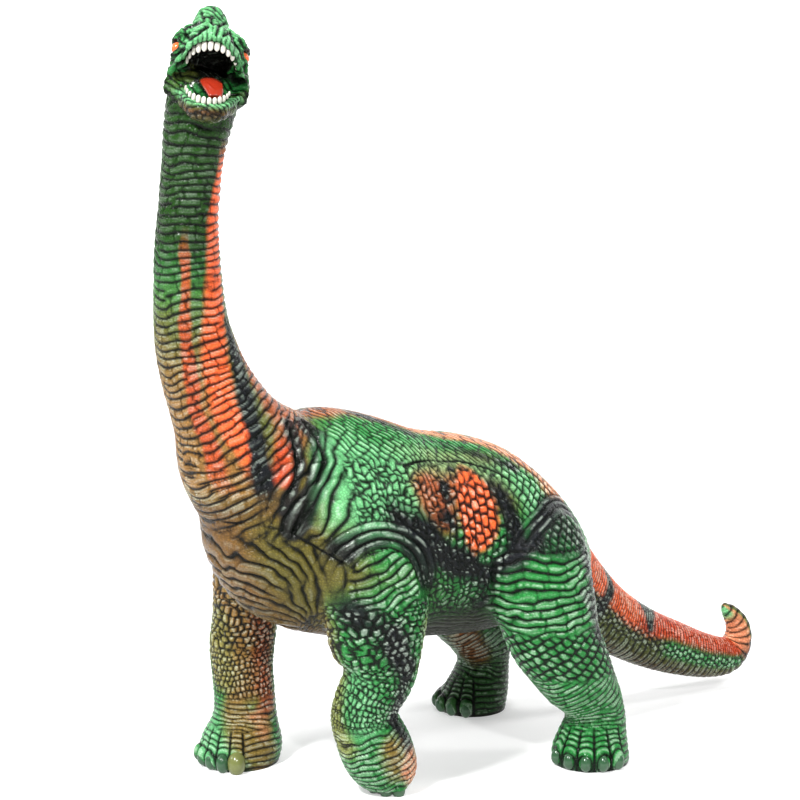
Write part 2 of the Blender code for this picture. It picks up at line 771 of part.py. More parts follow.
def head_pieces():
    """Skull with its teeth, jaw with its teeth, tongue and eyes, each clear of the next."""
    frame = head_matrix()
    jaw_frame = frame @ jaw_matrix()
    jaw, skull = part_head(head_whole(frame, jaw_frame), frame)
    tongue = tongue_piece(jaw_frame)
    eyes = {"eye_left": eye("eye_left", frame, 1), "eye_right": eye("eye_right", frame, -1)}
    boolean(skull, [grown(e, GAP) for e in eyes.values()], "DIFFERENCE")
    boolean(skull, tooth_row(frame, UPPER_TEETH), "UNION")
    boolean(jaw, tooth_row(jaw_frame, LOWER_TEETH), "UNION")
    for piece in (skull, jaw):
        boolean(piece, [grown(tongue, GAP)], "DIFFERENCE")
    pieces = {"head": only_largest(skull), "lower_jaw": only_largest(jaw), "tongue": tongue}
    pieces.update(eyes)
    return pieces


def colour_of(name):
    """Colour and roughness of the first listed word in a piece's name, or the body's green."""
    return next((tint for word, tint in COLOURS.items() if word in name), BODY_GREEN)


def finish(pieces):
    """Names and colours every piece and puts the middle of the toy's base on the origin."""
    corners = np.array([v.co for obj in pieces.values() for v in obj.data.vertices])
    low, high = corners.min(axis=0), corners.max(axis=0)
    move = Matrix.Translation((-(low[0] + high[0]) / 2, -(low[1] + high[1]) / 2, -low[2]))
    for name, obj in pieces.items():
        obj.name = obj.data.name = name
        obj.data.transform(move)
        obj.data.materials.clear()
        obj.data.materials.append(material(name + "_vinyl", *colour_of(name)))
        obj.data.shade_smooth()
        obj.data.set_sharp_from_angle(angle=math.radians(SHARP_ANGLE))


def main():
    clear_scene()
    pieces = part_body(body_skin())
    for leg in LEGS:
        keep_side(pieces["leg_" + leg], Vector((0, 0, ANKLES[leg] * MM + GAP / 2)), (0, 0, 1))
        pieces["foot_" + leg] = foot_piece(leg)
    pieces.update(head_pieces())
    finish(pieces)


main()
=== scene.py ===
"""The looks of a painted soft-vinyl toy sauropod: moulded folds and scales under sprayed paint.

Lengths are in millimetres until a mesh is made. The animal faces -Y and its left is +X.
"""

import json
import math

import bmesh
import bpy
import numpy as np
from mathutils import Matrix, Vector

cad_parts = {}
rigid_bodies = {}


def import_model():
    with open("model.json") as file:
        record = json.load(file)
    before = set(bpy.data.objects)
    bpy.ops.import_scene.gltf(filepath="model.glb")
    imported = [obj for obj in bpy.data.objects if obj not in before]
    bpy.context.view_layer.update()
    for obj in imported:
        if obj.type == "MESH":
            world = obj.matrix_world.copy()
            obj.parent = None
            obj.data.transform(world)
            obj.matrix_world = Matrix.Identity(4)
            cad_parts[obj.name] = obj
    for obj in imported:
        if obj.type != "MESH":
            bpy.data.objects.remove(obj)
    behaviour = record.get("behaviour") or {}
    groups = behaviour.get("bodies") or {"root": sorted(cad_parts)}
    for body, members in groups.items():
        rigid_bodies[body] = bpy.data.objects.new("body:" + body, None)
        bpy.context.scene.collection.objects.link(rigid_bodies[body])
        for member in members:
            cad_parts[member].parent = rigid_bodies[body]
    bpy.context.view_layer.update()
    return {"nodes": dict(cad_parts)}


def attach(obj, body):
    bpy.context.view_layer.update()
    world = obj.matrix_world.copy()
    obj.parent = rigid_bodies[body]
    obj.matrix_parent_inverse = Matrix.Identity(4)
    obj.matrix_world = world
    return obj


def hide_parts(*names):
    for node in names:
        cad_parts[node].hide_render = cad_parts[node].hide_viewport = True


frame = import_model()

MM = 0.001
# From the middle between the feet, where the stations are measured, to the row's own origin
TO_ROW = np.array([-9.777, -53.143, 0.0])

# Stations. Torso: sideways centre, y, lowest z, highest z, half width
TORSO = [
    (-5, -158, 168, 188, 10),
    (-5, -151, 144.5, 205.5, 27),
    (-5, -136, 121.5, 224.5, 42),
    (-5, -110, 105, 237.5, 55),
    (-4, -80, 95, 243.5, 63),
    (-2, -45, 88, 236.5, 68),
    (0, -10, 85, 224, 69),
    (3, 25, 83, 218, 69),
    (5, 55, 86, 207.5, 65),
    (7, 80, 92, 188, 58),
    (7, 99, 99, 167, 47),
    (6, 116, 103, 144.5, 31),
    (5, 125, 108, 129.5, 16),
]
# Neck and tail: centre x, y, z and radius
NECK = [
    (-4, -80, 174, 52),
    (-5, -112, 195, 49),
    (-5, -136, 220.5, 42),
    (-4.5, -149.5, 244.5, 31.5),
    (-5, -160, 267, 27),
    (-4, -167, 286, 24.8),
    (-1, -172, 304.5, 22.5),
    (2, -175, 327.5, 20.8),
    (7, -178, 351, 19.3),
    (12, -179, 375, 17.8),
    (17, -179, 398.5, 17.8),
    (20, -178, 415.5, 19.2),
    (22.5, -175.5, 431, 20.6),
    (24, -173, 442, 19.6),
    (27, -171, 452, 15),
]
TAIL = [
    (6, 84, 134.5, 36),
    (5, 104, 115, 33),
    (4, 125, 97, 29),
    (3, 148, 79, 25.5),
    (2, 172, 64, 22.8),
    (2, 197, 50.5, 21.3),
    (3, 224, 39, 20),
    (4, 251, 29, 17.5),
    (4, 275, 23, 15),
    (4, 288, 23.5, 12.5),
    (4, 295.5, 33.5, 11),
    (3, 295, 45.5, 9.2),
    (1, 288, 55.5, 7),
    (0, 284, 59.5, 4.5),
]
# Legs: centre x, y, z, half width across the animal, half depth along it
LEGS = {
    "front_right": [
        (-38, -92, 170, 28, 36),
        (-48, -97, 144.5, 27.5, 34.5),
        (-56, -101, 116.5, 23, 26),
        (-59, -103, 99, 21, 22.5),
        (-61, -105, 79, 21.5, 22),
        (-60.5, -105, 59.5, 20, 20.5),
        (-60, -104, 43.5, 20, 20.5),
        (-60, -104, 29.5, 21, 22),
        (-59.5, -106, 16, 25.5, 27),
        (-60, -108, 6, 26.5, 27),
        (-60, -108, -3, 25.5, 26),
    ],
    "front_left": [
        (34, -78, 168, 28, 38),
        (42, -73, 146.5, 29, 36),
        (46, -70, 124.5, 28, 34),
        (47, -69, 103, 26, 33),
        (47.5, -66.5, 87, 23, 26),
        (47.5, -69.5, 75, 21.5, 22.5),
        (45.5, -76, 63.5, 19.5, 21),
        (43, -79, 51.5, 18.5, 19.5),
        (43, -73, 39.5, 20.5, 22.5),
        (43, -66, 25.5, 22, 23),
        (43, -59, 13, 20, 20),
        (42, -55, 4, 14, 14),
    ],
    "hind_left": [
        (44, 54, 156.5, 28, 38),
        (57, 50, 138.5, 31, 38),
        (68, 48, 116.5, 31, 35),
        (73, 52, 93, 29, 32),
        (75, 61, 76, 27, 28.5),
        (76, 71, 60.5, 25, 25.5),
        (76.5, 83, 44.5, 20, 20.5),
        (76, 88, 30.5, 19.5, 20),
        (76, 86, 17, 23, 23.5),
        (76, 84, 6, 25.5, 26.5),
        (76, 84, -3, 24.5, 25.5),
    ],
    "hind_right": [
        (-30, 60, 154.5, 30, 38),
        (-43, 56, 136.5, 31, 36),
        (-53, 57, 114.5, 29, 33),
        (-58, 67, 93, 27, 29),
        (-59.5, 79, 75, 26, 27),
        (-59, 90, 60.5, 23, 24),
        (-59, 96, 47.5, 20.5, 21.5),
        (-60, 98, 34.5, 18.5, 19),
        (-60, 94, 18, 21, 22.5),
        (-60, 89, 6, 23, 24.5),
        (-60, 89, -3, 22, 23.5),
    ],
}
# Muscle bulges: centre, half sizes along x, y and z, and the tilt about x in degrees
BULGES = [
    ((30, -72, 164), (36, 44, 54), 12),
    ((-38, -90, 164), (34, 42, 54), 8),
    ((46, 46, 138.5), (30, 38, 46), -12),
    ((-34, 52, 136.5), (30, 38, 46), -12),
]
# Flat feet: x, y of the centre, reach of the toes, heading of the middle toe and the angle between toes
FEET = {
    "front_right": (-60, -108, 23, 16, 19.5),
    "hind_left": (76, 84, 21, 42, 26),
    "hind_right": (-60, 88, 21, -10, 26),
}
TOES = 5
TOE_SIZE = (9.5, 6.3, 8.0)
TOE_HEIGHT = 7.5
TOE_SINK = 1.5
# The folded foot stands on its tips: its middle, the toes' reach, the angle between them,
# their share of that reach to the front, and their half sizes
FOLDED_FOOT = (43, -58, 9)
FOLDED_REACH = 13
FOLDED_FAN = 40.0
FOLDED_SQUASH = 0.75
FOLDED_TOE_SIZE = (6.2, 6.2, 10)

# The head's own axes run forward, left and up from the middle between the eyes
HEAD_PLACE = (33, -175, 459)
HEAD_YAW = 64.5
HEAD_PITCH = 24.0
HEAD_ROLL = -8.0
# Lumps of the head: centre and half sizes along forward, left and up
SKULL = [
    ((-8, 0, 2), (19, 19.5, 14)),
    ((-4, -1.8, 16), (13, 11, 17.6)),
    ((-2, -1, 9), (13, 17, 11)),
    ((6, -1.5, 9), (14, 11, 9)),
    ((15, 0, 2), (14, 12.5, 7)),
    ((15, 0, -1.5), (14.5, 14.5, 5)),
    ((6, 0, -3), (19, 18.5, 5.5)),
    ((-1, 9.5, 11), (10.5, 6.8, 6)),
    ((-1, -10.5, 11.3), (10.5, 7.2, 6.6)),
    ((0, 14.4, 6.6), (12, 6.4, 5.6)),
    ((0, -15, 7), (12, 7, 6)),
    ((-3, 14.5, -3), (14, 7, 6)),
    ((-3, -14.5, -3), (14, 7, 6)),
    ((-12, 18.5, -12), (11, 6, 12.5)),
    ((-12, -17, -13), (11, 6, 14)),
    ((-17, 0, -12), (13, 19.5, 22)),
]
# The jaw's own axes start at its hinge and drop by this angle
JAW_HINGE = (-12, 1.5, -19)
JAW_DROP = 33.0
JAW = [
    ((10, 0, -3), (24, 17, 8)),
    ((26, 0, -5), (12, 12.5, 7)),
]
# Hollows of the mouth: centre and half sizes
UPPER_MOUTH = ((11, 0, -9.2), (18, 13.5, 9))
MOUTH_CORNERS = ((0, 2, -15), (8.5, 22, 6))
JAW_BOWL = ((17, 0, 6), (18, 12.2, 9.5))
THROAT = ((-2, 0, -15), (11, 13, 11))
EYE_PLACE = (3.6, 18.7, 0.3)
EYE_RADIUS = 3.7
# The left eye is set back by this much, where its lids hide more of it
EYE_LEFT_BACK = 1.8
SOCKET_PLACE = (5.6, 20.4, 0.3)
SOCKET_RADIUS = 4.2
# Raised rims on the left of the head, mirrored to the right: the axes they are in, radius, path
RIMS = [
    ("head", 1.8, [(-4, 22.3, -10.5), (6, 18.5, -10.3), (16, 14, -7.8), (25.5, 8, -3.4), (28.5, 0, -2)]),
    ("jaw", 1.6, [(6, 19.5, 1.5), (14, 16.5, 2.5), (24, 13, 0.5), (33, 8, -1.5), (36.5, 0, -2.5)]),
    ("jaw", 2.6, [(7, 19.8, 0), (10, 19.8, 0.5)]),
    ("head", 1.7, [(9, 15, -9), (0, 20.5, -12), (-6, 23, -17), (-9, 22.5, -23)]),
    ("head", 1.5, [(-5, 21.6, 6.5), (3, 21, 5.3), (9, 18, 2), (14, 14.8, -2)]),
    ("head", 1.3, [(-5, 21.8, -5.5), (5, 20.4, -4.6), (11, 17, -4.2), (16, 13.2, -3.6)]),
    ("head", 1.0, [(3.5, 22.5, 4.9), (8.2, 20.4, 4.0), (9.8, 17.6, 1.4)]),
    ("head", 0.9, [(3.5, 22.6, -4.6), (8.0, 20.6, -3.7), (9.8, 17.6, -1.4)]),
]
# Tooth rows: count, centre of the oval, half lengths, lift forwards, half height, half width
UPPER_TEETH = (12, (5, 1.5, -9.4), 20.4, 14.4, 0.19, 4.0, 1.65)
LOWER_TEETH = (12, (14, -0.8, 6.0), 19.8, 12.6, -0.24, 2.6, 1.4)
TOOTH_SWEEP = 156.0
# How far forward and up count as up in the picture of the face
FACE_UP = (0.449, 0.893)
# Tongue in the jaw's axes: forward, left, up, half width, half height
TONGUE = [
    (2, -1, 7.5, 5.0, 2.6),
    (10, 0, 9.0, 6.0, 2.8),
    (18, 1.5, 8.6, 6.0, 2.6),
    (24, 3, 6.6, 5.2, 2.2),
    (29, 4, 3.6, 3.6, 1.7),
]
# The raised rim of the tongue's tip: forward, left, up and radius
TONGUE_RIM = [
    (17, -3.4, 10.2, 0.7),
    (23, -0.6, 8.8, 0.9),
    (26.5, 3.6, 6.6, 0.9),
    (24, 6.6, 7.6, 0.9),
    (18, 6.4, 10, 0.7),
]
NAIL_SIZE = (5.4, 4.0, 6.0)
NAIL_HEIGHT = 6.0
NAIL_REACH = 3.6
# On the right front foot the nails grow from the first share of their size to the thumb's
FIRST_SCALE = 0.85
THUMB_SCALE = 1.35
THUMB_WIDENING = 1.12
FOLDED_NAIL_SIZE = (4.2, 4.4, 6.0)
FOLDED_NAIL_REACH = 1.1
FOLDED_NAIL_DROP = 5.5

# Grid size of each fused mesh, and how often its joins are eased
SKIN_GRID = (0.75, 5)
BODY_GRID = (3.0, 9)
FEET_GRID = (1.5, 3)
HEAD_GRID = (0.9, 3)
TONGUE_GRID = (0.4, 2)
# The head takes in this many of the neck's last rows, and each foot of its leg's
NAPE_ROWS = 6
ANKLE_ROWS = 6
# Sides and rings of a fine ellipsoid
FINE = (40, 24)

# Heavy fold arcs over the elbow and the hip: side, y and z of the middle, inner and outer reach,
# pitch, strength, aim of the strongest part and its spread in degrees
ARCS = [
    (1, -78, 140, 23.5, 41, 5.8, 2.4, 12, 78),
    (-1, -96, 140, 23.5, 41, 5.8, 2.4, 12, 78),
    (1, 62, 128, 40, 52, 4.0, 1.5, -8, 46),
    (-1, 66, 126, 40, 52, 4.0, 1.5, -8, 46),
]
# Moulding seams, on both sides of the body
SEAMS = [
    [
        (0, -165, 180),
        (28, -149, 181),
        (41, -131, 177),
        (50, -110, 163),
        (62, -95, 152),
        (68, -70, 138),
        (64, -40, 121),
    ],
    [(64, -40, 121), (69, -36, 136), (67, -44, 154)],
    [(50, -51, 210), (48, -41, 211.5), (46, -28, 211.5), (43, -2, 207.5), (49, 18, 201), (57, 32, 192)],
]
# Deep creases where limbs meet the body, and long folds down the neck's root
CREASES = [
    ([(28, -120, 240), (40, -122, 216), (42, -133, 190)], 0.8),
    (
        [
            (21, -106, 237),
            (29, -101, 229),
            (38, -102, 217),
            (42, -109, 206),
            (43, -119, 192),
            (42, -127, 177),
        ],
        0.8,
    ),
    ([(60, 16, 112), (66, 8, 128), (70, 6, 146)], 0.45),
    ([(52, -30, 108), (60, -6, 104), (62, 14, 108)], 0.6),
]
# Lines on the face: sideways and upwards as seen from in front, in the head's own millimetres
FACE_LINES = [
    [(-16.1, 12.6), (-12.5, 7.7), (-8.7, 10.6), (-3.5, 15.8)],
    [(-15.6, 13.3), (-9.8, 17.2), (-5.2, 18.5)],
    [(-19.0, 8.3), (-17.4, 5.8), (-14.4, 4.5)],
    [(-20.1, -3.3), (-14.7, 2.1)],
    [(-20.5, -9.0), (-14.3, -4.5)],
    [(6.6, 12.2), (9.8, 14.4), (11.8, 9.3), (15.8, 6.3), (19.0, 0.2)],
    [(15.5, 11.5), (18.0, 7.5), (19.5, 3.5)],
    [(-7.7, 24.0), (-5.8, 19.4)],
    [(-5.3, 20.7), (-1.9, 21.7), (-1.0, 18.0)],
    [(2.0, 12.0), (3.0, 17.0), (6.5, 19.5)],
    [(-20.0, -13.0), (-15.0, -14.0), (-12.0, -17.5)],
    [(13.5, 15.5), (9.5, 17.5)],
]
# Nostrils, seen the same way
NOSTRILS = [(-3.3, 15.6), (0.8, 17.6)]

# Paints of the small pieces: name, colour and roughness
TOOTH_PAINT = ("tooth_enamel", (0.66, 0.64, 0.56), 0.2)
NAIL_PAINT = ("nail_paint", (0.035, 0.10, 0.045), 0.2)
THUMB_PAINT = ("thumb_paint", (0.17, 0.19, 0.06), 0.22)
EYE_PAINT = ("eye_paint", (0.85, 0.16, 0.05), 0.08)
TONGUE_PAINT = ("tongue_paint", (0.30, 0.022, 0.008), 0.2)
# The skin's gloss, and that of its clear coat
SKIN_GLOSS = {
    "Roughness": 0.24,
    "Specular IOR Level": 0.1,
    "Coat Weight": 0.06,
    "Coat Roughness": 0.08,
}

# The middle of the picture, in the stations' frame
AIM = np.array([23.0, -35.0, 247.5])
CAMERA_AZIMUTH = 55.0
CAMERA_ELEVATION = 8.0
CAMERA_DISTANCE = 1.15
CAMERA_LENS = 81.0
WORLD_STRENGTH = 0.22
# The stage: half width of the floor, then the wall's place, width and height
FLOOR_REACH = 4000
BACKDROP_DISTANCE = 2000
BACKDROP_WIDTH = 5000
BACKDROP_HEIGHT = 2500
# Grey, roughness and glow of the floor and of the wall
FLOOR_PAINT = (0.6, 0.8, 0.45)
BACKDROP_PAINT = (0.9, 0.5, 1.0)
# Lamps: name, place from the middle of the toy in metres, size and power
LAMPS = [
    ("key", (0.35, -1.2, 1.3), 0.2, 50),
    ("glint", (1.3, -0.5, 0.9), 0.08, 13),
    ("fill", (-1.2, -1.2, 0.7), 0.4, 6),
    ("rim", (0.9, 1.2, 1.2), 0.3, 14),
    ("top", (0.0, 0.0, 1.9), 0.3, 17),
]


# Small helpers

def linked(name, data):
    """An object in the scene that shows the data."""
    obj = bpy.data.objects.new(name, data)
    bpy.context.scene.collection.objects.link(obj)
    return obj


def mesh_object(name, points, faces):
    """A mesh object from points in millimetres in the stations' frame."""
    mesh = bpy.data.meshes.new(name)
    mesh.from_pydata((np.asarray(points) * MM).tolist(), [], faces)
    return linked(name, mesh)


def smooth_rows(rows, per_span):
    """Catmull-Rom rows through the given rows, per_span steps to each span."""
    rows = np.array(rows, float)
    padded = np.vstack([2 * rows[0] - rows[1], rows, 2 * rows[-1] - rows[-2]])
    steps = np.arange(per_span)[:, None] / per_span
    out = []
    for i in range(1, len(padded) - 2):
        p0, p1, p2, p3 = padded[i - 1 : i + 3]
        out.append(
            0.5 * (2 * p1 + (p2 - p0) * steps + (2 * p0 - 5 * p1 + 4 * p2 - p3) * steps**2
                   + (3 * p1 - p0 - 3 * p2 + p3) * steps**3)
        )
    out.append(padded[-2:-1])
    return np.vstack(out)


def ring_faces(rings, sides):
    """Faces of a closed tube of rings, whose two end centres are its last two points."""
    faces = []
    for i in range(rings - 1):
        for j in range(sides):
            k = (j + 1) % sides
            faces.append((i * sides + j, i * sides + k, (i + 1) * sides + k, (i + 1) * sides + j))
    last, low, high = (rings - 1) * sides, rings * sides, rings * sides + 1
    for j in range(sides):
        k = (j + 1) % sides
        faces.append((low, k, j))
        faces.append((high, last + j, last + k))
    return faces


def ring_mesh(name, rings):
    """A closed tube through rings of points."""
    rings = np.array(rings)
    ends = [rings[0].mean(axis=0), rings[-1].mean(axis=0)]
    points = np.vstack([rings.reshape(-1, 3), ends])
    obj = mesh_object(name, points, ring_faces(rings.shape[0], rings.shape[1]))
    shape = bmesh.new()
    shape.from_mesh(obj.data)
    bmesh.ops.recalc_face_normals(shape, faces=shape.faces)
    shape.to_mesh(obj.data)
    shape.free()
    return obj


def torso_loft(sides=48):
    """Upright oval rings along the body."""
    angles = np.linspace(0, 2 * math.pi, sides, endpoint=False)
    rings = []
    for cx, y, low, high, half in smooth_rows(TORSO, 5):
        x = cx + half * np.cos(angles)
        z = (low + high) / 2 + (high - low) / 2 * np.sin(angles)
        rings.append(np.stack([x, np.full(sides, y), z], axis=1))
    return ring_mesh("torso_loft", rings)


def centre_line(stations, per_span, side=(1.0, 0.0, 0.0)):
    """Centres, unit tangents, sideways axes, fore axes and radii along a limb."""
    rows = smooth_rows([(*r, r[3]) if len(r) == 4 else r for r in stations], per_span)
    centres = rows[:, :3]
    along = np.gradient(centres, axis=0)
    along /= np.linalg.norm(along, axis=1, keepdims=True)
    across = np.array(side) - along * (along @ np.array(side))[:, None]
    across /= np.linalg.norm(across, axis=1, keepdims=True)
    return centres, along, across, np.cross(along, across), rows[:, 3:5]


def limb_loft(stations, sides=32, per_span=5, side=(1.0, 0.0, 0.0)):
    """Oval rings square to a curved centre line."""
    centres, along, across, fore, radii = centre_line(stations, per_span, side)
    angles = np.linspace(0, 2 * math.pi, sides, endpoint=False)
    wide = np.cos(angles)[None, :, None] * across[:, None, :] * radii[:, 0, None, None]
    deep = np.sin(angles)[None, :, None] * fore[:, None, :] * radii[:, 1, None, None]
    return ring_mesh("limb_loft", centres[:, None, :] + wide + deep)


def ball(name, centre, half, turn=None, sides=24, rings=14):
    """An ellipsoid in millimetres with an optional rotation."""
    shape = bmesh.new()
    bmesh.ops.create_uvsphere(shape, u_segments=sides, v_segments=rings, radius=1.0)
    mesh = bpy.data.meshes.new(name)
    shape.to_mesh(mesh)
    shape.free()
    place = Matrix.Translation(Vector(centre) * MM) @ (turn or Matrix.Identity(3)).to_4x4()
    mesh.transform(place @ Matrix.Diagonal((*[h * MM for h in half], 1.0)))
    return linked(name, mesh)


def lump(matrix, centre, half, sides=24, rings=14):
    """An ellipsoid in the local axes of a matrix that works in millimetres."""
    return ball("lump", matrix @ Vector(centre), half, matrix.to_3x3(), sides, rings)


def joined(objects, name):
    """One mesh object holding all the given meshes, which are removed."""
    shape = bmesh.new()
    for obj in objects:
        shape.from_mesh(obj.data)
        bpy.data.objects.remove(obj, do_unlink=True)
    mesh = bpy.data.meshes.new(name)
    shape.to_mesh(mesh)
    shape.free()
    return linked(name, mesh)


def applied(obj):
    """The object with its modifiers baked into its mesh."""
    graph = bpy.context.evaluated_depsgraph_get()
    mesh = bpy.data.meshes.new_from_object(obj.evaluated_get(graph))
    obj.modifiers.clear()
    obj.data = mesh
    return obj


def fused(obj, voxel, smoothing):
    """Fuses overlapping closed meshes into one skin and eases the joins."""
    remesh = obj.modifiers.new("fuse", "REMESH")
    remesh.mode = "VOXEL"
    remesh.voxel_size = voxel * MM
    ease = obj.modifiers.new("ease", "SMOOTH")
    ease.factor = 0.5
    ease.iterations = smoothing
    return applied(obj)


def carved(obj, cutters):
    """Cuts closed meshes out of obj and removes them."""
    group = bpy.data.collections.new("cutters")
    for cutter in cutters:
        group.objects.link(cutter)
    cut = obj.modifiers.new("carve", "BOOLEAN")
    cut.operation = "DIFFERENCE"
    cut.operand_type = "COLLECTION"
    cut.collection = group
    cut.solver = "EXACT"
    applied(obj)
    for cutter in list(group.objects):
        bpy.data.objects.remove(cutter, do_unlink=True)
    bpy.data.collections.remove(group)
    return obj


def read_points(obj):
    """Vertex positions and normals of a mesh, in millimetres and in the stations' frame."""
    mesh = obj.data
    points = np.empty(len(mesh.vertices) * 3)
    mesh.vertices.foreach_get("co", points)
    normals = np.empty(len(mesh.vertices) * 3)
    mesh.vertices.foreach_get("normal", normals)
    return points.reshape(-1, 3) / MM, normals.reshape(-1, 3)


def write_points(obj, points):
    """Puts points in millimetres back into a mesh."""
    obj.data.vertices.foreach_set("co", (points * MM).ravel())
    obj.data.update()


def heading(yaw):
    """The level direction at yaw degrees from -Y towards +X."""
    return Vector((math.sin(math.radians(yaw)), -math.cos(math.radians(yaw)), 0))


def axes_along(out):
    """Axes with x along a level direction and z up."""
    return Matrix((out, Vector((0, 0, 1)).cross(out), Vector((0, 0, 1)))).transposed()


def step(low, high, x):
    """A smooth rise from 0 at low to 1 at high."""
    t = np.clip((x - low) / (high - low), 0, 1)
    return t * t * (3 - 2 * t)


def band(low, high, soft, x):
    """1 between low and high, falling off over soft on both sides."""
    return step(low - soft, low + soft, x) * (1 - step(high - soft, high + soft, x))


# Noise on points

def hashed(cells, salt):
    """A random number from 0 to 1 for each whole-number cell."""
    c = cells.astype(np.int64).astype(np.uint64)
    h = c[..., 0] * np.uint64(73856093) ^ c[..., 1] * np.uint64(19349663) ^ c[..., 2] * np.uint64(83492791)
    h = h ^ np.uint64(salt * 2654435761)
    h = (h ^ (h >> np.uint64(15))) * np.uint64(2246822519)
    h = (h ^ (h >> np.uint64(13))) * np.uint64(3266489917)
    h = h ^ (h >> np.uint64(16))
    return (h & np.uint64(0xFFFFFF)).astype(np.float64) / 0xFFFFFF


def noise(points, size, salt=0):
    """Smooth value noise from -1 to 1 with cells of the given size."""
    p = points / size
    base = np.floor(p)
    t = p - base
    t = t * t * (3 - 2 * t)
    total = np.zeros(len(p))
    for dx in (0, 1):
        for dy in (0, 1):
            for dz in (0, 1):
                corner = hashed(base + (dx, dy, dz), salt)
                wx = t[:, 0] if dx else 1 - t[:, 0]
                wy = t[:, 1] if dy else 1 - t[:, 1]
                wz = t[:, 2] if dz else 1 - t[:, 2]
                total += corner * wx * wy * wz
    return total * 2 - 1


def folds(u, pitch):
    """Rounded ridges with grooves between them: 0 in a groove and 1 on a ridge."""
    t = u / pitch - np.floor(u / pitch)
    return (4 * t * (1 - t)) ** 0.75


def beads(u, v, length, pitch, cross, salt=0):
    """Rows of beads: v counts the rows, u runs along them, and cross is how deep the cuts are."""
    row = np.floor(v / pitch)
    cell = np.stack([row, row * 0, row * 0 + salt], axis=1)
    shifted = u / length + 5 * hashed(cell, salt)
    bead = np.floor(shifted)
    ends = 0.5 - np.abs(shifted - bead - 0.5)
    ends = np.clip(ends * length / 1.3, 0, 1) ** 0.6
    number = hashed(np.stack([row, bead, row * 0 + salt], axis=1), salt + 9)
    return folds(v, pitch) * (1 - cross * (1 - ends)) * (0.9 + 0.1 * number)


def pebbles(u, v, length, pitch, jitter, salt=0):
    """Uneven rounded scales about length by pitch: 0 between them and about 1 on top."""
    here = np.stack([u / length, v / pitch], axis=1)
    here[:, 0] += 0.5 * (np.floor(here[:, 1]) % 2)
    base = np.floor(here)
    first = np.full(len(here), 9.0)
    second = np.full(len(here), 9.0)
    number = np.zeros(len(here))
    for dx in (-1, 0, 1):
        for dy in (-1, 0, 1):
            corner = base + (dx, dy)
            cell = np.column_stack([corner, np.full(len(here), salt)])
            seed = [0.5 + jitter * (hashed(cell, salt + k) - 0.5) for k in (1, 2)]
            gap = corner + np.stack(seed, axis=1) - here
            away = np.sqrt((gap * gap).sum(axis=1))
            nearer = away < first
            second = np.where(nearer, first, np.minimum(second, away))
            number = np.where(nearer, hashed(cell, salt + 4), number)
            first = np.where(nearer, away, first)
    edge = np.clip((second - first) / 0.55, 0, 1) ** 0.7
    return edge * (1 - 0.25 * np.clip(first, 0, 1) ** 2) * (0.88 + 0.12 * number)


# Where each point lies on the animal

class Limb:
    """Distance along, angle round and height above the surface of a limb, for every point."""

    def __init__(self, stations, points, reach=14):
        centres, along, across, fore, radii = centre_line(stations, 8)
        steps = np.linalg.norm(np.diff(centres, axis=0), axis=1)
        length = np.concatenate([[0], np.cumsum(steps)])
        count = len(points)
        self.s = np.full(count, -999.0)
        self.phi = np.zeros(count)
        self.off = np.full(count, 999.0)
        self.radius = np.ones(count)
        low = (centres - radii.max()).min(axis=0) - reach
        high = (centres + radii.max()).max(axis=0) + reach
        near = np.where(((points > low) & (points < high)).all(axis=1))[0]
        for start in range(0, len(near), 60000):
            part = near[start : start + 60000]
            p = points[part]
            gap = ((p[:, None, :] - centres[None, :, :]) ** 2).sum(axis=2)
            i = gap.argmin(axis=1)
            v = p - centres[i]
            self.s[part] = length[i] + (v * along[i]).sum(axis=1)
            a = (v * across[i]).sum(axis=1)
            b = (v * fore[i]).sum(axis=1)
            self.phi[part] = np.degrees(np.arctan2(a, b))
            ratio = np.sqrt((a / radii[i, 0]) ** 2 + (b / radii[i, 1]) ** 2)
            small = radii[i].min(axis=1)
            end = np.maximum(np.maximum(-self.s[part], self.s[part] - length[-1]), 0)
            self.off[part] = np.abs(ratio - 1) * small + end
            self.radius[part] = small


def torso_off(points):
    """Height above or below the torso's own ovals and its muscle bulges."""
    rows = smooth_rows(TORSO, 6)
    y = points[:, 1]
    cx, low, high, half = (np.interp(y, rows[:, 1], rows[:, k]) for k in (0, 2, 3, 4))
    tall = (high - low) / 2
    ratio = np.hypot((points[:, 0] - cx) / half, (points[:, 2] - (high + low) / 2) / tall)
    off = np.abs(ratio - 1) * np.minimum(half, tall)
    off += 2 * np.maximum(0, np.maximum(rows[0, 1] - y, y - rows[-1, 1]))
    for centre, size, tilt in BULGES:
        c, s = math.cos(math.radians(tilt)), math.sin(math.radians(tilt))
        v = points - np.array(centre)
        v = np.stack([v[:, 0], c * v[:, 1] + s * v[:, 2], -s * v[:, 1] + c * v[:, 2]], axis=1)
        off = np.minimum(off, np.abs(np.linalg.norm(v / np.array(size), axis=1) - 1) * min(size))
    return off


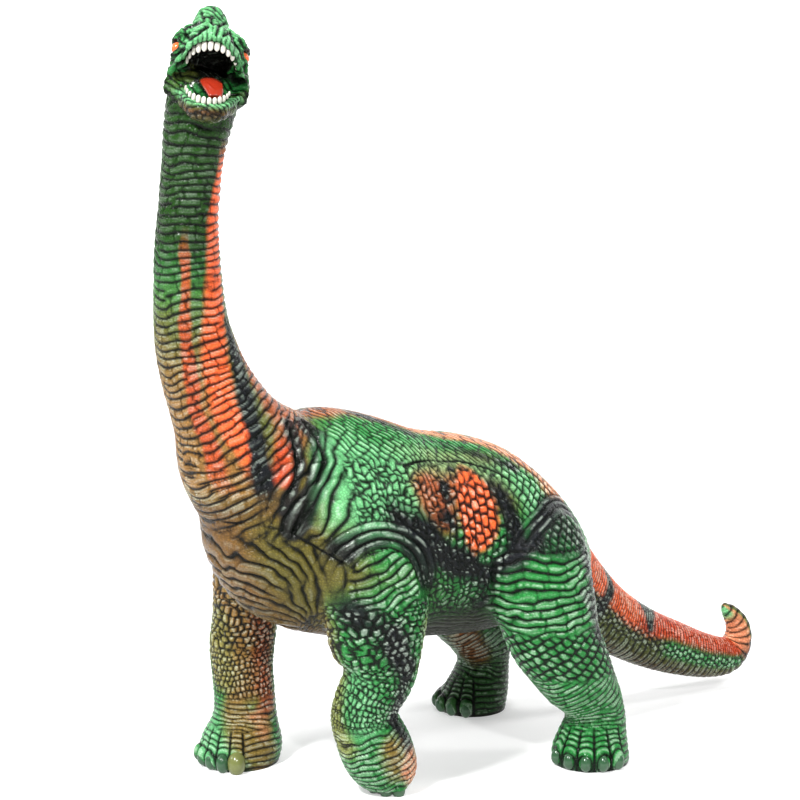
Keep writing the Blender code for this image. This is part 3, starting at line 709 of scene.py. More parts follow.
class Regions:
    """How much each point belongs to the torso, neck, tail, legs and head."""

    def __init__(self, points, head_frame):
        self.neck = Limb(NECK, points)
        self.tail = Limb(TAIL, points)
        self.legs = {name: Limb(rows, points) for name, rows in LEGS.items()}
        off = {"torso": torso_off(points), "neck": self.neck.off, "tail": self.tail.off}
        for name, limb in self.legs.items():
            off[name] = limb.off
        back = np.array(head_frame.inverted())
        self.local = points @ back[:3, :3].T + back[:3, 3]
        share = {name: np.exp(-np.minimum(o, 60) / 2.5) for name, o in off.items()}
        share["torso"] *= 1.5
        share["neck"] *= step(215, 262, points[:, 2])
        share["tail"] *= step(84, 112, points[:, 1])
        for name in LEGS:
            share[name] *= 1 - step(112, 150, points[:, 2])
        total = sum(share.values()) + 1e-12
        self.w = {name: s / total for name, s in share.items()}
        skull = self.local
        self.w["head"] = step(420, 432, points[:, 2] + 0.25 * skull[:, 0])
        for name in share:
            self.w[name] = self.w[name] * (1 - self.w["head"])
        self.leg = sum(self.w[name] for name in LEGS)
        self.leg_s = sum(self.w[name] * self.legs[name].s for name in LEGS) / (self.leg + 1e-9)
        self.leg_phi = np.zeros(len(points))
        for name in LEGS:
            mine = self.w[name] > 0.5 * self.leg
            self.leg_phi[mine] = self.legs[name].phi[mine]


# The skin's shape

def head_matrix():
    """Carries forward, left and up of the head, in millimetres, to the stations' frame."""
    forward = heading(HEAD_YAW)
    pitch = Matrix.Rotation(math.radians(-HEAD_PITCH), 3, "Y")
    roll = Matrix.Rotation(math.radians(HEAD_ROLL), 3, "X")
    return Matrix.Translation(Vector(HEAD_PLACE)) @ (axes_along(forward) @ pitch @ roll).to_4x4()


def jaw_matrix():
    """The jaw's axes within the head: dropped about the hinge."""
    return Matrix.Translation(Vector(JAW_HINGE)) @ Matrix.Rotation(math.radians(JAW_DROP), 4, "Y")


def toe_headings(yaw, spread):
    """Level directions of a flat foot's toes, from the first to the last."""
    return [heading(yaw + spread * (i - (TOES - 1) / 2)) for i in range(TOES)]


def folded_headings():
    """Level directions of the folded foot's toes, shorter to the front."""
    angles = [math.radians(FOLDED_FAN * (i - 2)) for i in range(TOES)]
    return [Vector((math.sin(a), -FOLDED_SQUASH * math.cos(a), 0)) for a in angles]


def toe_balls():
    """Rounded toes of the three flat feet and of the folded one."""
    made = []
    for x, y, reach, yaw, spread in FEET.values():
        for out in toe_headings(yaw, spread):
            root = Vector((x, y, TOE_HEIGHT)) + out * (reach - TOE_SINK)
            made.append(ball("toe", root, TOE_SIZE, axes_along(out)))
    for out in folded_headings():
        made.append(ball("toe", Vector(FOLDED_FOOT) + out * FOLDED_REACH, FOLDED_TOE_SIZE))
    return made


def flat_sole(obj):
    """Cuts the feet off level at the floor."""
    shape = bmesh.new()
    shape.from_mesh(obj.data)
    geom = shape.verts[:] + shape.edges[:] + shape.faces[:]
    cut = bmesh.ops.bisect_plane(
        shape, geom=geom, dist=1e-7, plane_co=(0, 0, 0), plane_no=(0, 0, 1), clear_inner=True
    )
    rim = [e for e in cut["geom_cut"] if isinstance(e, bmesh.types.BMEdge)]
    bmesh.ops.holes_fill(shape, edges=rim, sides=0)
    shape.to_mesh(obj.data)
    shape.free()
    return obj


def body_base():
    """Torso, neck, tail, legs and toes as one smooth skin."""
    lofts = [torso_loft(), limb_loft(NECK), limb_loft(TAIL)]
    lofts += [limb_loft(rows) for rows in LEGS.values()]
    for centre, half, tilt in BULGES:
        lofts.append(ball("bulge", centre, half, Matrix.Rotation(math.radians(tilt), 3, "X")))
    lofts.append(ball("tail_end", TAIL[-1][:3], [TAIL[-1][3]] * 3))
    return fused(joined(lofts, "body"), *BODY_GRID)


def head_base(head, jaw):
    """Skull, jaw and cheeks as one skin with the mouth carved out."""
    lumps = [lump(head, c, h, *FINE) for c, h in SKULL]
    lumps += [lump(jaw, c, h, *FINE) for c, h in JAW]
    lumps.append(limb_loft(NECK[-NAPE_ROWS:]))
    for axes, radius, path in RIMS:
        matrix = head if axes == "head" else jaw
        for sign in (1, -1):
            rows = [(*(matrix @ Vector((f, sign * l, u))), radius) for f, l, u in path]
            lumps.append(limb_loft(rows, 14, 6, (0.0, 0.0, 1.0)))
    skin = fused(joined(lumps, "head"), *HEAD_GRID)
    cavities = [
        lump(head, *UPPER_MOUTH, *FINE),
        lump(head, *MOUTH_CORNERS, *FINE),
        lump(jaw, *JAW_BOWL, *FINE),
        lump(head, *THROAT, *FINE),
    ]
    for sign in (1, -1):
        x, y, z = SOCKET_PLACE
        cavities.append(lump(head, (x, sign * y, z), [SOCKET_RADIUS] * 3))
    return carved(skin, cavities)


def whole_skin(head, jaw):
    """The one skin at its finest, before its relief."""
    feet = joined(toe_balls() + ankle_lofts(), "feet")
    pieces = [body_base(), fused(feet, *FEET_GRID), head_base(head, jaw)]
    skin = fused(joined(pieces, "skin"), *SKIN_GRID)
    return flat_sole(skin)


def ankle_lofts():
    """The lowest lengths of the legs, which carry the toes."""
    return [limb_loft(rows[-ANKLE_ROWS:]) for rows in LEGS.values()]


# The moulded relief

def to_path(points, path):
    """Distance of every point to a path of straight lengths."""
    best = np.full(len(points), 1e9)
    for a, b in zip(np.array(path[:-1], float), np.array(path[1:], float)):
        run = b - a
        t = np.clip((points - a) @ run / (run @ run), 0, 1)
        best = np.minimum(best, np.linalg.norm(points - a - t[:, None] * run, axis=1))
    return best


def mirrored(points):
    """The points folded onto the animal's left side."""
    out = points.copy()
    out[:, 0] = np.abs(out[:, 0])
    return out


class Relief:
    """Height in millimetres, how high each point is on its ridge, and where its finest scales lie."""

    def __init__(self, points, at):
        self.points, self.at = points, at
        self.wander = noise(points, 22, 1) * 2.6 + noise(points, 8, 2) * 1.1
        self.jitter = noise(points, 4.5, 4) * 1.1
        self.height = np.zeros(len(points))
        self.ridge = np.full(len(points), 0.8)
        self.trunk()
        self.chest()
        self.patch_and_rump()
        self.limbs()
        self.ringed()
        self.arcs()
        self.feet()
        self.lines()
        self.face()
        self.grain()

    def lay(self, share, depth, pattern, u, v, *sizes):
        """Lays a pattern over what is there, where its share is more than nothing."""
        on = share > 0.01
        ridge = pattern(u[on], v[on], *sizes)
        share = np.clip(share[on], 0, 1)
        self.height[on] = self.height[on] * (1 - share) + share * depth * (ridge - 0.6)
        self.ridge[on] = self.ridge[on] * (1 - share) + share * ridge

    def trunk(self):
        """Pebbles in columns on the flank, slanting ribs on the back and fine lines on the belly."""
        x, y, z = self.points.T
        torso = np.maximum(self.at.w["torso"], 1 - self.at.w["neck"] - self.at.w["tail"] - self.at.leg)
        columns = y + 0.2 * (z - 180) + 1.3 * self.wander + self.jitter
        self.lay(torso, 1.0, pebbles, z + 2 * self.jitter, columns, 4.4, 4.2, 0.7, 11)
        smooth = noise(self.points * (1, 1, 0.25), 9, 31)
        self.lay(torso * step(0.45, 0.75, smooth), 0.35, beads, z, columns, 30, 4.2, 0.2, 36)
        back = torso * step(200, 212, z + 0.14 * y)
        slant = 0.87 * y + 0.5 * z - 0.3 * np.abs(x) + 1.5 * self.wander
        self.lay(back, 0.9, beads, z - 0.5 * y + self.jitter, slant, 7.5, 3.6, 0.75, 12)
        belly = torso * (1 - step(104, 124, z + 2 * self.wander))
        self.lay(belly, 0.7, beads, y, z * 0.8 + 0.5 * np.abs(x) + 2 * self.wander, 22, 4.2, 0.3, 13)

    def chest(self):
        """Slack folds that gather at the top of the front legs, and slanting ones at the neck's root."""
        x, y, z = self.points.T
        out = 45 * np.arctan2(np.abs(x + 5), -(y + 95))
        near = step(-30, -12, -np.abs(out) + 60) * step(84, 100, -y)
        torso = self.at.w["torso"]
        away = np.hypot(out - 62, z - 104)
        angle = np.arctan2(z - 104, 62 - out)
        under = 1 - step(168, 182, z + 0.12 * out)
        drape = self.wander * 1.8 + 4 * noise(self.points, 30, 41)
        far = torso * near * under
        self.lay(far, 2.2, beads, away, 52 * angle + 0.25 * away + drape, 26, 6.4, 0.3, 14)
        self.lay(far * (1 - step(34, 50, away)), 1.8, beads, away, 24 * angle + drape, 18, 5.6, 0.3, 37)
        self.lay(far * (1 - step(12, 24, away)), 1.0, pebbles, z, out + drape, 6.5, 4.5, 0.7, 38)
        root = near * (1 - under) * (1 - self.at.w["neck"])
        slant = 0.85 * out - 0.52 * z + self.wander * 1.8
        self.lay(torso * root * step(22, 40, out), 2.0, beads, z, slant, 24, 6.6, 0.3, 15)
        rings = self.at.neck.s + self.wander - 0.1 * out
        self.lay(torso * root * (1 - step(22, 40, out)), 1.4, beads, out, rings, 15, 5.2, 0.35, 16)

    def patch_and_rump(self):
        """Big scales in bowed columns on the flank, diamonds on the rump."""
        x, y, z = self.points.T
        side = step(30, 44, np.abs(x))
        spot = np.exp(-(((y + 6) / 27) ** 4 + ((z - 174) / 30) ** 4)) * side
        bow = np.sqrt(np.clip(1 - ((z - 176) / 52) ** 2, 0.3, 1))
        columns = (y + 6) / bow + 0.6 * self.wander
        self.lay(spot, 1.9, pebbles, z + self.jitter, columns, 6.6, 5.6, 0.55, 17)
        rump = step(34, 46, y + 0.4 * (z - 150)) * step(134, 146, z + self.wander)
        rump = rump * (1 - step(96, 110, y)) * side * (1 - self.at.w["tail"])
        one = 0.75 * y + 0.66 * z + self.wander
        two = 0.75 * y - 0.66 * z + self.wander + self.jitter
        self.lay(rump, 1.4, lambda a, b: np.minimum(folds(a, 5.0), folds(b, 5.0)), one, two)

    def limbs(self):
        """Waves on the thigh, plates on the knee, beads and wrinkles on the front legs."""
        x, y, z = self.points.T
        leg, along = self.at.leg, self.at.leg_s
        girth = np.radians(self.at.leg_phi) * 23
        hind = step(0, 10, y)
        thigh = hind * band(97, 150, 6, z + self.wander) * step(24, 40, np.abs(x))
        wave = z + 1.9 * self.wander - 0.1 * y
        self.lay(thigh * np.maximum(leg, step(106, 116, z)), 2.0, beads, y, wave, 13, 5.4, 0.45, 21)
        knee = leg * hind * band(64, 97, 3, z)
        turned = 0.8 * girth + 0.6 * z + 0.5 * self.wander
        cross = 0.8 * z - 0.6 * girth + 0.5 * self.wander
        self.lay(knee, 1.2, pebbles, turned, cross, 5.2, 5.0, 0.4, 22)
        shin = leg * hind * band(40, 64, 3, z)
        self.lay(shin, 1.0, beads, girth, along + 0.9 * self.wander, 17, 3.8, 0.4, 23)
        upper = leg * (1 - hind) * band(76, 130, 5, z)
        self.lay(upper, 1.5, pebbles, girth + self.jitter, along + 2.2 * self.wander, 5.4, 4.0, 0.6, 24)
        front = leg * (1 - hind) * band(46, 80, 5, z)
        self.lay(front, 1.2, pebbles, girth + self.jitter, along + self.wander, 3.9, 3.6, 0.55, 25)
        tilt = 3.5 * np.sin(np.radians(self.at.leg_phi) + 1.1)
        ankle = leg * np.where(hind > 0.5, 1 - step(36, 44, z), 1 - step(42, 50, z))
        self.lay(ankle, 1.15, beads, girth, along + 1.8 * self.wander + tilt, 15, 3.7, 0.4, 26)

    def ringed(self):
        """Rounded folds that ring the neck and the tail, cut into beads in places."""
        neck, tail = self.at.neck, self.at.tail
        bend = 7.0 * np.exp(-(((np.abs(neck.phi) - 180) / 45) ** 2))
        bend += 2.5 * np.sin(np.radians(neck.phi) + 0.6)
        around = np.radians(neck.phi) * neck.radius + 2 * self.jitter
        rings = neck.s + 1.15 * self.wander + bend
        on_neck = self.at.w["neck"]
        self.lay(on_neck, 1.25, beads, around, rings, 13, 4.7, 0.45, 27)
        mixed = step(0.1, 0.4, noise(self.points, 16, 32))
        self.lay(on_neck * mixed, 1.25, beads, around, rings + 1.5, 10, 5.8, 0.6, 28)
        around = np.radians(tail.phi) * tail.radius
        rings = tail.s + 0.7 * self.wander
        on_tail = self.at.w["tail"]
        self.lay(on_tail, 1.3, beads, around, rings + 0.2 * around, 20, 5.6, 0.3, 29)
        low_side = np.abs(tail.phi)
        on_tail = on_tail * (1 - 0.75 * step(222, 246, tail.s))
        self.height *= 1 - 0.6 * self.at.w["tail"] * step(222, 246, tail.s)
        under = on_tail * step(92, 104, low_side)
        self.lay(under, 0.9, beads, around, rings - 0.15 * around, 11, 3.1, 0.45, 40)
        self.lay(on_tail * band(70, 98, 6, low_side), 1.4, pebbles, around, rings, 4.6, 4.4, 0.45, 30)

    def arcs(self):
        """Heavy folds over the elbow and the hip, and leafy folds inside the elbow's."""
        x, y, z = self.points.T
        for side, cy, cz, low, high, pitch, strength, aim, spread in ARCS:
            reach = np.hypot(y - cy, z - cz) + 0.6 * self.wander
            angle = np.degrees(np.arctan2(y - cy, z - cz))
            on_side = step(30, 46, side * x)
            share = band(low, high, 1.5, reach) * np.exp(-(((angle - aim) / spread) ** 6)) * on_side
            if cy < 0:
                inner = on_side * (1 - step(low - 3, low, reach)) * step(122, 130, z)
                self.lay(inner, 1.6, beads, y, z - 0.3 * (y - cy) + 1.7 * self.wander, 13, 5.4, 0.4, 33)
            run = np.radians(angle) * reach
            self.lay(share, strength, beads, run, reach - low, 17, pitch, 0.25, 34)

    def feet(self):
        """Small folds round every nail, and grooves between the toes."""
        x, y, z = self.points.T
        for cx, cy, reach, yaw, spread in FEET.values():
            out = np.degrees(np.arctan2(x - cx, -(y - cy))) - yaw
            toe = np.clip(np.round(out / spread), -(TOES - 1) / 2, (TOES - 1) / 2)
            turn = np.radians(yaw + spread * toe)
            from_nail = np.sqrt(
                (x - cx - (reach + 3) * np.sin(turn)) ** 2
                + (y - cy + (reach + 3) * np.cos(turn)) ** 2
                + (0.8 * (z - NAIL_HEIGHT)) ** 2
            )
            off_toe = np.abs(out - toe * spread) / spread
            share = (1 - step(22, 30, z)) * (1 - step(36, 44, np.hypot(x - cx, y - cy)))
            toes_side = 1 - step(0.5, 0.75, off_toe)
            gaps = 1 - 0.85 * step(0.34, 0.5, off_toe)
            curved = from_nail + 0.6 * self.wander
            self.lay(share * toes_side, 1.2, lambda a, b: folds(a, 2.9) * b, curved, gaps)
            self.lay(share * (1 - toes_side), 1.0, beads, out * 0.5, z + self.wander, 15, 4.4, 0.3, 39)

    def lines(self):
        """Moulding seams and deep creases."""
        body = mirrored(self.points)
        x, y, z = body.T
        seam = np.array(SEAMS[0])
        above = z - np.interp(y, seam[:, 1], seam[:, 2])
        over = step(-0.6, 0.6, above)
        ledge = np.exp(-np.abs(above) / 5) * over * band(-128, -40, 6, y) * step(34, 46, x)
        flap = np.exp(-(((y + 52) / 13) ** 2 + ((z - 133) / 11) ** 2)) * over
        self.height += 1.3 * ledge + 1.5 * flap * step(40, 52, x)
        for path in SEAMS:
            self.score(to_path(body, path), 1.2, 0.85)
        for path, strength in CREASES:
            away = to_path(body, path) + 0.4 * self.wander
            self.height += 1.3 * strength * np.exp(-(((away - 4) / 2.0) ** 2))
            self.score(away, 2.0 * strength, 1.6, strength)

    def score(self, away, depth, width, share=1.0):
        """Cuts a groove where a distance is small, and lowers its ridge share so that it takes painted
        shade.
        """
        cut = np.exp(-((away / width) ** 2)) * share
        self.height -= depth * cut
        self.ridge = self.ridge * (1 - cut)

    def face(self):
        """Plates, brow lines, nostrils, the fluted lip and the pebbled chin."""
        f, l, u = self.at.local.T
        up = FACE_UP[0] * f + FACE_UP[1] * u
        seen = self.at.w["head"] * step(-6, 3, f) * (1 - step(17, 20.5, np.abs(l)))
        flat = np.stack([l, up], axis=1)
        rough = noise(self.points, 3.2, 42)
        self.height += self.at.w["head"] * 0.25 * rough
        # Patches of the head's rough noise lower its ridge share, which gives them painted shade
        self.ridge = self.ridge * (1 - 0.3 * self.at.w["head"] * step(0.15, 0.5, -rough))
        sweep = l / (1 + 0.04 * np.maximum(up - 10, 0))
        low_edge = 10 - 13 * ((l - 1.5) / 17) ** 2
        high_edge = low_edge + 4.2 - 0.008 * (l - 1.5) ** 2 + 4.5 * np.exp(-(((l - 1) / 4.5) ** 2))
        lip = seen * band(low_edge - 1, high_edge, 0.9, up) * step(7, 11, f)
        self.lay(lip, 0.8, lambda a, b: folds(a, 2.6), sweep + 0.5 * self.jitter, up)
        for path in FACE_LINES:
            away = to_path(flat, path)
            self.height += seen * 0.45 * np.exp(-(((away - 1.9) / 0.9) ** 2))
            # A raised ridge share beside each line gives it a painted highlight
            self.ridge = self.ridge + 0.25 * seen * np.exp(-(((away - 1.9) / 0.8) ** 2))
            self.score(away, 0.9, 0.75, seen)
        for nostril in NOSTRILS:
            self.score(np.linalg.norm((flat - np.array(nostril)) / (1.3, 0.8), axis=1), 1.2, 1.0, seen)
        chin = self.at.w["head"] * (1 - step(-32, -29.5, up)) * step(-10, -2, f)
        self.lay(chin, 1.2, pebbles, l + self.jitter, up + self.jitter, 3.8, 3.6, 0.7, 35)

    def grain(self):
        """Coordinates whose unit cells are the finest scales."""
        bend = np.stack([noise(self.points, 9, k) for k in (21, 22, 23)], axis=1)
        self.cells_at = (self.points + 1.5 * bend) / (1.9, 1.9, 1.5)


# The sprayed paint

def colour(r, g, b):
    """A linear colour from the usual 0 to 255 numbers."""
    c = np.array([r, g, b]) / 255
    return np.where(c <= 0.04045, c / 12.92, ((c + 0.055) / 1.055) ** 2.4)


GREEN = colour(40, 122, 56)
PALE_GREEN = colour(104, 176, 118)
DARK_GREEN = colour(30, 64, 18)
ORANGE = colour(236, 98, 48)
RED_ORANGE = colour(186, 66, 34)
RUST = colour(156, 78, 44)
TAN = colour(138, 100, 50)
OLIVE = colour(84, 92, 38)
DARK_OLIVE = colour(36, 40, 16)
SAGE = colour(124, 130, 68)
BROWN = colour(70, 42, 24)
BLACK = colour(20, 22, 26)
# Painted shade in the mouth's hollow
MOUTH_SHADE = colour(5, 4, 3)
PINK = colour(206, 130, 92)

# Sprays on both sides of the body: tint, path, radius, softness, strength
BODY_SPRAYS = [
    (PALE_GREEN, [(46, -88, 222), (56, -66, 212), (60, -62, 190), (54, -94, 194)], 16, 14, 0.75),
    (PALE_GREEN, [(48, -40, 218), (50, 0, 210), (56, 36, 194), (64, 46, 178)], 9, 12, 0.7),
    (RUST, [(-4, -104, 243), (0, -60, 243), (6, -20, 234)], 13, 9, 0.9),
    (PINK, [(4, -20, 234), (12, 5, 224), (18, 32, 212), (34, 54, 196), (50, 70, 178)], 9, 6, 0.95),
    (
        BLACK,
        [(7, -61, 242), (20, -40, 235), (28, -18, 227), (35, 5, 217), (43, 20, 210), (47, 38, 202)],
        4.5, 5, 1.0,
    ),
    (RUST, [(58, -40, 196), (64, -28, 174)], 8, 7, 0.9),
    (BLACK, [(60, -24, 196), (64, -25, 188)], 3.5, 3.5, 1.0),
    (BLACK, [(66, -28, 179), (67, -24, 170)], 4, 3.5, 1.0),
    (BLACK, [(62, -66, 182), (66, -44, 168), (68, -30, 152), (69, 0, 138), (70, 20, 148)], 8, 8, 1.0),
    (BLACK, [(60, 13, 196), (66, 19, 182), (69, 23, 166), (70, 22, 150)], 5, 5, 1.0),
    (BLACK, [(70, 22, 150), (74, 36, 146), (78, 50, 146)], 8, 8, 1.0),
    (
        BLACK,
        [(78, 32, 156), (73, 41, 166), (65, 53, 173), (56, 70, 175), (59, 81, 164), (66, 93, 144)],
        5, 6, 1.0,
    ),
    (BLACK, [(72, 56, 164), (78, 72, 150)], 13, 10, 0.85),
    (BLACK, [(86, 74, 138), (94, 76, 118), (98, 72, 96)], 7, 8, 1.0),
    (BLACK, [(58, 4, 118), (66, 16, 134), (72, 30, 142)], 3.5, 5, 0.9),
    (BLACK, [(70, -48, 128), (68, -42, 122)], 3.5, 3.5, 0.9),
]
# Sprays on one leg each, in the stations' frame
LEG_SPRAYS = [
    (TAN, [(-60, -126, 124), (-56, -128, 96), (-54, -126, 66)], 13, 8, 0.95),
    (TAN, [(-46, -116, 120), (-46, -114, 90), (-46, -112, 58)], 11, 8, 0.95),
    (SAGE, [(-58, -128, 98), (-54, -126, 62)], 11, 8, 0.65),
    (RUST, [(-38, -102, 110), (-38, -98, 70), (-38, -96, 42)], 8, 7, 0.95),
    (GREEN, [(-80, -116, 100), (-78, -116, 76), (-76, -120, 60)], 9, 8, 0.9),
    (PALE_GREEN, [(-62, -132, 24), (-50, -134, 15)], 9, 9, 0.75),
    (TAN, [(-44, -122, 40), (-40, -118, 26), (-36, -106, 12)], 9, 8, 0.8),
    (PINK, [(-38, -108, 34), (-36, -102, 26)], 4, 7, 0.7),
    (TAN, [(36, -106, 112), (38, -102, 92)], 10, 9, 0.8),
    (SAGE, [(40, -98, 74), (40, -98, 56), (44, -94, 40)], 9, 7, 0.95),
    (PALE_GREEN, [(56, -92, 78), (58, -86, 50)], 8, 8, 0.7),
    (BLACK, [(58, -94, 128), (69, -76, 110), (72, -66, 92)], 9, 7, 1.0),
    (BLACK, [(71, -62, 90), (65, -66, 72), (61, -65, 52), (62, -54, 34)], 5.5, 5, 1.0),
    (SAGE, [(60, -42, 108), (58, -42, 84)], 8, 7, 0.8),
    (TAN, [(64, -70, 36), (62, -66, 20)], 5, 7, 0.8),
    (PINK, [(62, -54, 20), (60, -48, 12)], 7, 6, 0.95),
    (BLACK, [(98, 62, 120), (102, 80, 90), (94, 94, 64)], 5, 7, 0.9),
    (RED_ORANGE, [(-46, 56, 84), (-44, 66, 66), (-44, 78, 46)], 8, 8, 0.7),
    (DARK_OLIVE, [(-60, 60, 110), (-60, 80, 70), (-60, 92, 30), (-60, 84, 6)], 26, 8, 0.7),
    (TAN, [(70, 110, 60), (84, 112, 24)], 4, 8, 0.5),
]
# Heights at which the neck's stripes are given
STRIPE_HEIGHTS = (200, 225, 250, 280, 310, 356, 395)
# Stripes on the neck: tint, angle from the nape and width in degrees at each height,
# lowest and highest level, softness, strength
NECK_STRIPES = [
    (RUST, (60, 50, 40, 30, 20, 20, 20), (26, 24, 20, 16, 10, 5, 5), 205, 292, 12, 0.9),
    (RED_ORANGE, (141, 141, 140, 134, 126, 124, 124), (8, 9, 10, 10, 9, 7, 5), 206, 350, 14, 0.75),
    (ORANGE, (108, 108, 106, 96, 74, 60, 52), (11, 13, 16, 19, 22, 20, 14), 214, 402, 12, 1.0),
    (BLACK, (116, 98, 80, 60, 44, 36, 36), (9, 11, 12, 12, 9, 5, 5), 186, 306, 10, 1.0),
]
# Painted shade: the near-black that fills the grooves; then the pale colour of the painted highlights on
# the ridges
GROOVE_SHADE = colour(5, 9, 5)
PAINTED_HIGHLIGHT = colour(214, 232, 214)
# The direction, up, forward and to the left, whose facing slopes take painted highlights and whose
# turned-away slopes take painted shade
HIGHLIGHT_FACING = np.array([0.35, -0.55, 0.76])


class Coat:
    """Paint that is sprayed on in layers, and how much painted highlight each point takes."""

    def __init__(self, points, at):
        self.points, self.at = points, at
        self.drift = noise(points, 14, 5) * 3 + noise(points, 5, 6) * 1.5
        self.tint = np.tile(GREEN, (len(points), 1))
        self.body = mirrored(points)
        # How much painted highlight each point may take
        self.highlight_share = np.ones(len(points))
        self.trunk()
        self.neck()
        self.sprays()
        self.tail()
        self.head()

    def spray(self, tint, share):
        share = np.clip(share, 0, 1)[:, None]
        self.tint = self.tint * (1 - share) + tint * share

    def trunk(self):
        """Belly in dark olive paint deepened by painted shade underneath, tan chest and the flank's orange
        patch.
        """
        x, y, z = self.points.T
        torso = self.at.w["torso"]
        low = 1 - step(100, 140, z + self.drift)
        self.spray(OLIVE, torso * 0.7 * band(112, 146, 14, z) * step(10, 80, -y))
        # Dark olive paint under the belly, darkened further as painted shade, with little painted highlight
        # there
        self.spray(DARK_OLIVE * 0.6, torso * low)
        self.highlight_share -= 0.8 * torso * low
        chest = step(84, 124, -y + 0.35 * (185 - z) + 2 * self.drift) * (1 - step(215, 250, z))
        self.spray(TAN * 0.56, torso * chest * (1 - 0.3 * low))
        # Less painted highlight on the chest
        self.highlight_share -= 0.75 * torso * chest * (1 - low) * (1 - step(180, 200, z))
        self.spray(OLIVE, torso * chest * 0.6 * step(20, 42, np.abs(x + 5)) * (1 - step(176, 196, z)))
        side = step(30, 44, np.abs(x))
        brown = np.exp(-(((y + 12) / 38) ** 4 + ((z - 196 + 0.12 * y) / 19) ** 4))
        self.spray(RUST, side * brown * 0.95)
        for cy, cz, low_r, high_r in ((-78, 140, 25, 42), (-96, 140, 25, 42)):
            on_side = step(30, 44, x if cy > -90 else -x)
            reach = np.hypot(y - cy, z - cz) + 0.7 * self.drift
            angle = np.degrees(np.arctan2(y - cy, z - cz))
            self.spray(BLACK, 0.95 * on_side * band(low_r, high_r, 2, reach) * band(-58, 104, 10, angle))

    def neck(self):
        """Green to olive down the neck, with orange and black stripes along it."""
        x, y, z = self.points.T
        neck, drift = self.at.neck, self.drift
        phi = np.abs(neck.phi)
        on_neck = np.maximum(self.at.w["neck"], step(108, 126, -y) * step(188, 204, z))
        self.spray(DARK_GREEN, on_neck * step(318, 356, z + drift))
        # Less painted highlight on the neck, least near its top
        self.highlight_share -= on_neck * (0.4 + 0.3 * step(300, 340, z))
        self.spray(OLIVE, on_neck * (1 - step(290, 350, z + 2 * drift)))
        self.spray(TAN, on_neck * (1 - step(258, 312, z + 2 * drift)) * step(70, 120, phi))
        for tint, middle, width, low, high, soft, strength in NECK_STRIPES:
            centre = np.interp(z, STRIPE_HEIGHTS, middle)
            wide = np.interp(z, STRIPE_HEIGHTS, width)
            share = 1 - step(wide * 0.6, wide * 1.35, np.abs(phi + 1.5 * drift - centre))
            self.spray(tint, strength * on_neck * share * band(low, high, soft, z))
        # Black along the two deep creases at the neck's root: partly black paint, partly painted shadow in
        # the creases
        for (path, _), wide in zip(CREASES[:2], (3.5, 6.5)):
            self.spray(BLACK, 0.95 * (1 - step(wide, wide + 4, to_path(self.body, path) + 0.6 * drift)))
        beside = to_path(self.body, [(38, -130, 236), (42, -133, 210)])
        self.spray(RED_ORANGE, 0.9 * (1 - step(4, 9, beside)))

    def sprays(self):
        """Patches and stripes along paths."""
        for tint, path, radius, soft, strength in BODY_SPRAYS:
            away = to_path(self.body, path) + self.drift
            self.spray(tint, strength * (1 - step(radius - soft / 2, radius + soft, away)))
        x, y, z = self.body.T
        oval = np.hypot((y + 4) / 15, (z - 178) / 27) + 0.02 * self.drift
        self.spray(ORANGE, (1 - step(0.8, 1.08, oval)) * step(34, 46, x))
        # Painted shade: a near-black band along the bottom edge, where the feet meet the floor
        self.spray(BLACK, 0.85 * (1 - step(1.5, 5.5, z + 0.4 * self.drift)) * (1 - self.at.w["tail"]))
        for tint, path, radius, soft, strength in LEG_SPRAYS:
            away = to_path(self.points, path) + self.drift
            share = strength * np.maximum(self.at.leg, 0.8 * (1 - step(28, 34, z)))
            self.spray(tint, share * (1 - step(radius - soft / 2, radius + soft, away)))

    def tail(self):
        """Orange above, olive below, with black bars, a green row at the side and a pale end."""
        tail, drift = self.at.tail, self.drift
        x, y, z = self.points.T
        on_tail = np.maximum(self.at.w["tail"], step(100, 116, y) * (1 - self.at.leg))
        phi = 180 - np.abs(tail.phi)
        run = tail.s + 0.6 * drift
        self.spray(OLIVE * 0.7, on_tail)
        self.spray(BROWN, on_tail * step(112, 150, phi) * 0.7)
        self.spray(GREEN, on_tail * band(80, 112, 10, phi) * step(138, 156, run))
        edge = 84 - 14 * step(110, 180, run)
        top = 1 - step(edge - 8, edge + 12, phi + 2 * drift)
        self.spray(RED_ORANGE, on_tail * top)
        self.spray(ORANGE, on_tail * top * band(30, 112, 8, run) * 0.9)
        bar = run + 12 * np.abs(phi / 70 - 0.9) ** 1.5
        self.spray(BLACK, on_tail * band(62, 74, 2.5, bar) * (1 - step(120, 140, phi)))
        self.spray(BLACK, on_tail * band(40, 70, 5, run) * band(96, 150, 12, phi))
        point = 15 * (1 - np.clip(phi / 92, 0, 1))
        beside = np.abs(run - 125) + 0.5 * drift
        self.spray(BLACK, on_tail * (1 - step(point - 2, point + 3, beside)) * step(0.5, 2.5, point))
        self.spray(BLACK, on_tail * band(234, 250, 4, run + drift) * band(70, 128, 14, phi))
        self.spray(PINK, on_tail * step(232, 250, run) * (1 - step(96, 116, phi + drift)) * 0.9)
        self.spray(PALE_GREEN, on_tail * step(270, 277, run) * (1 - step(60, 100, phi)))

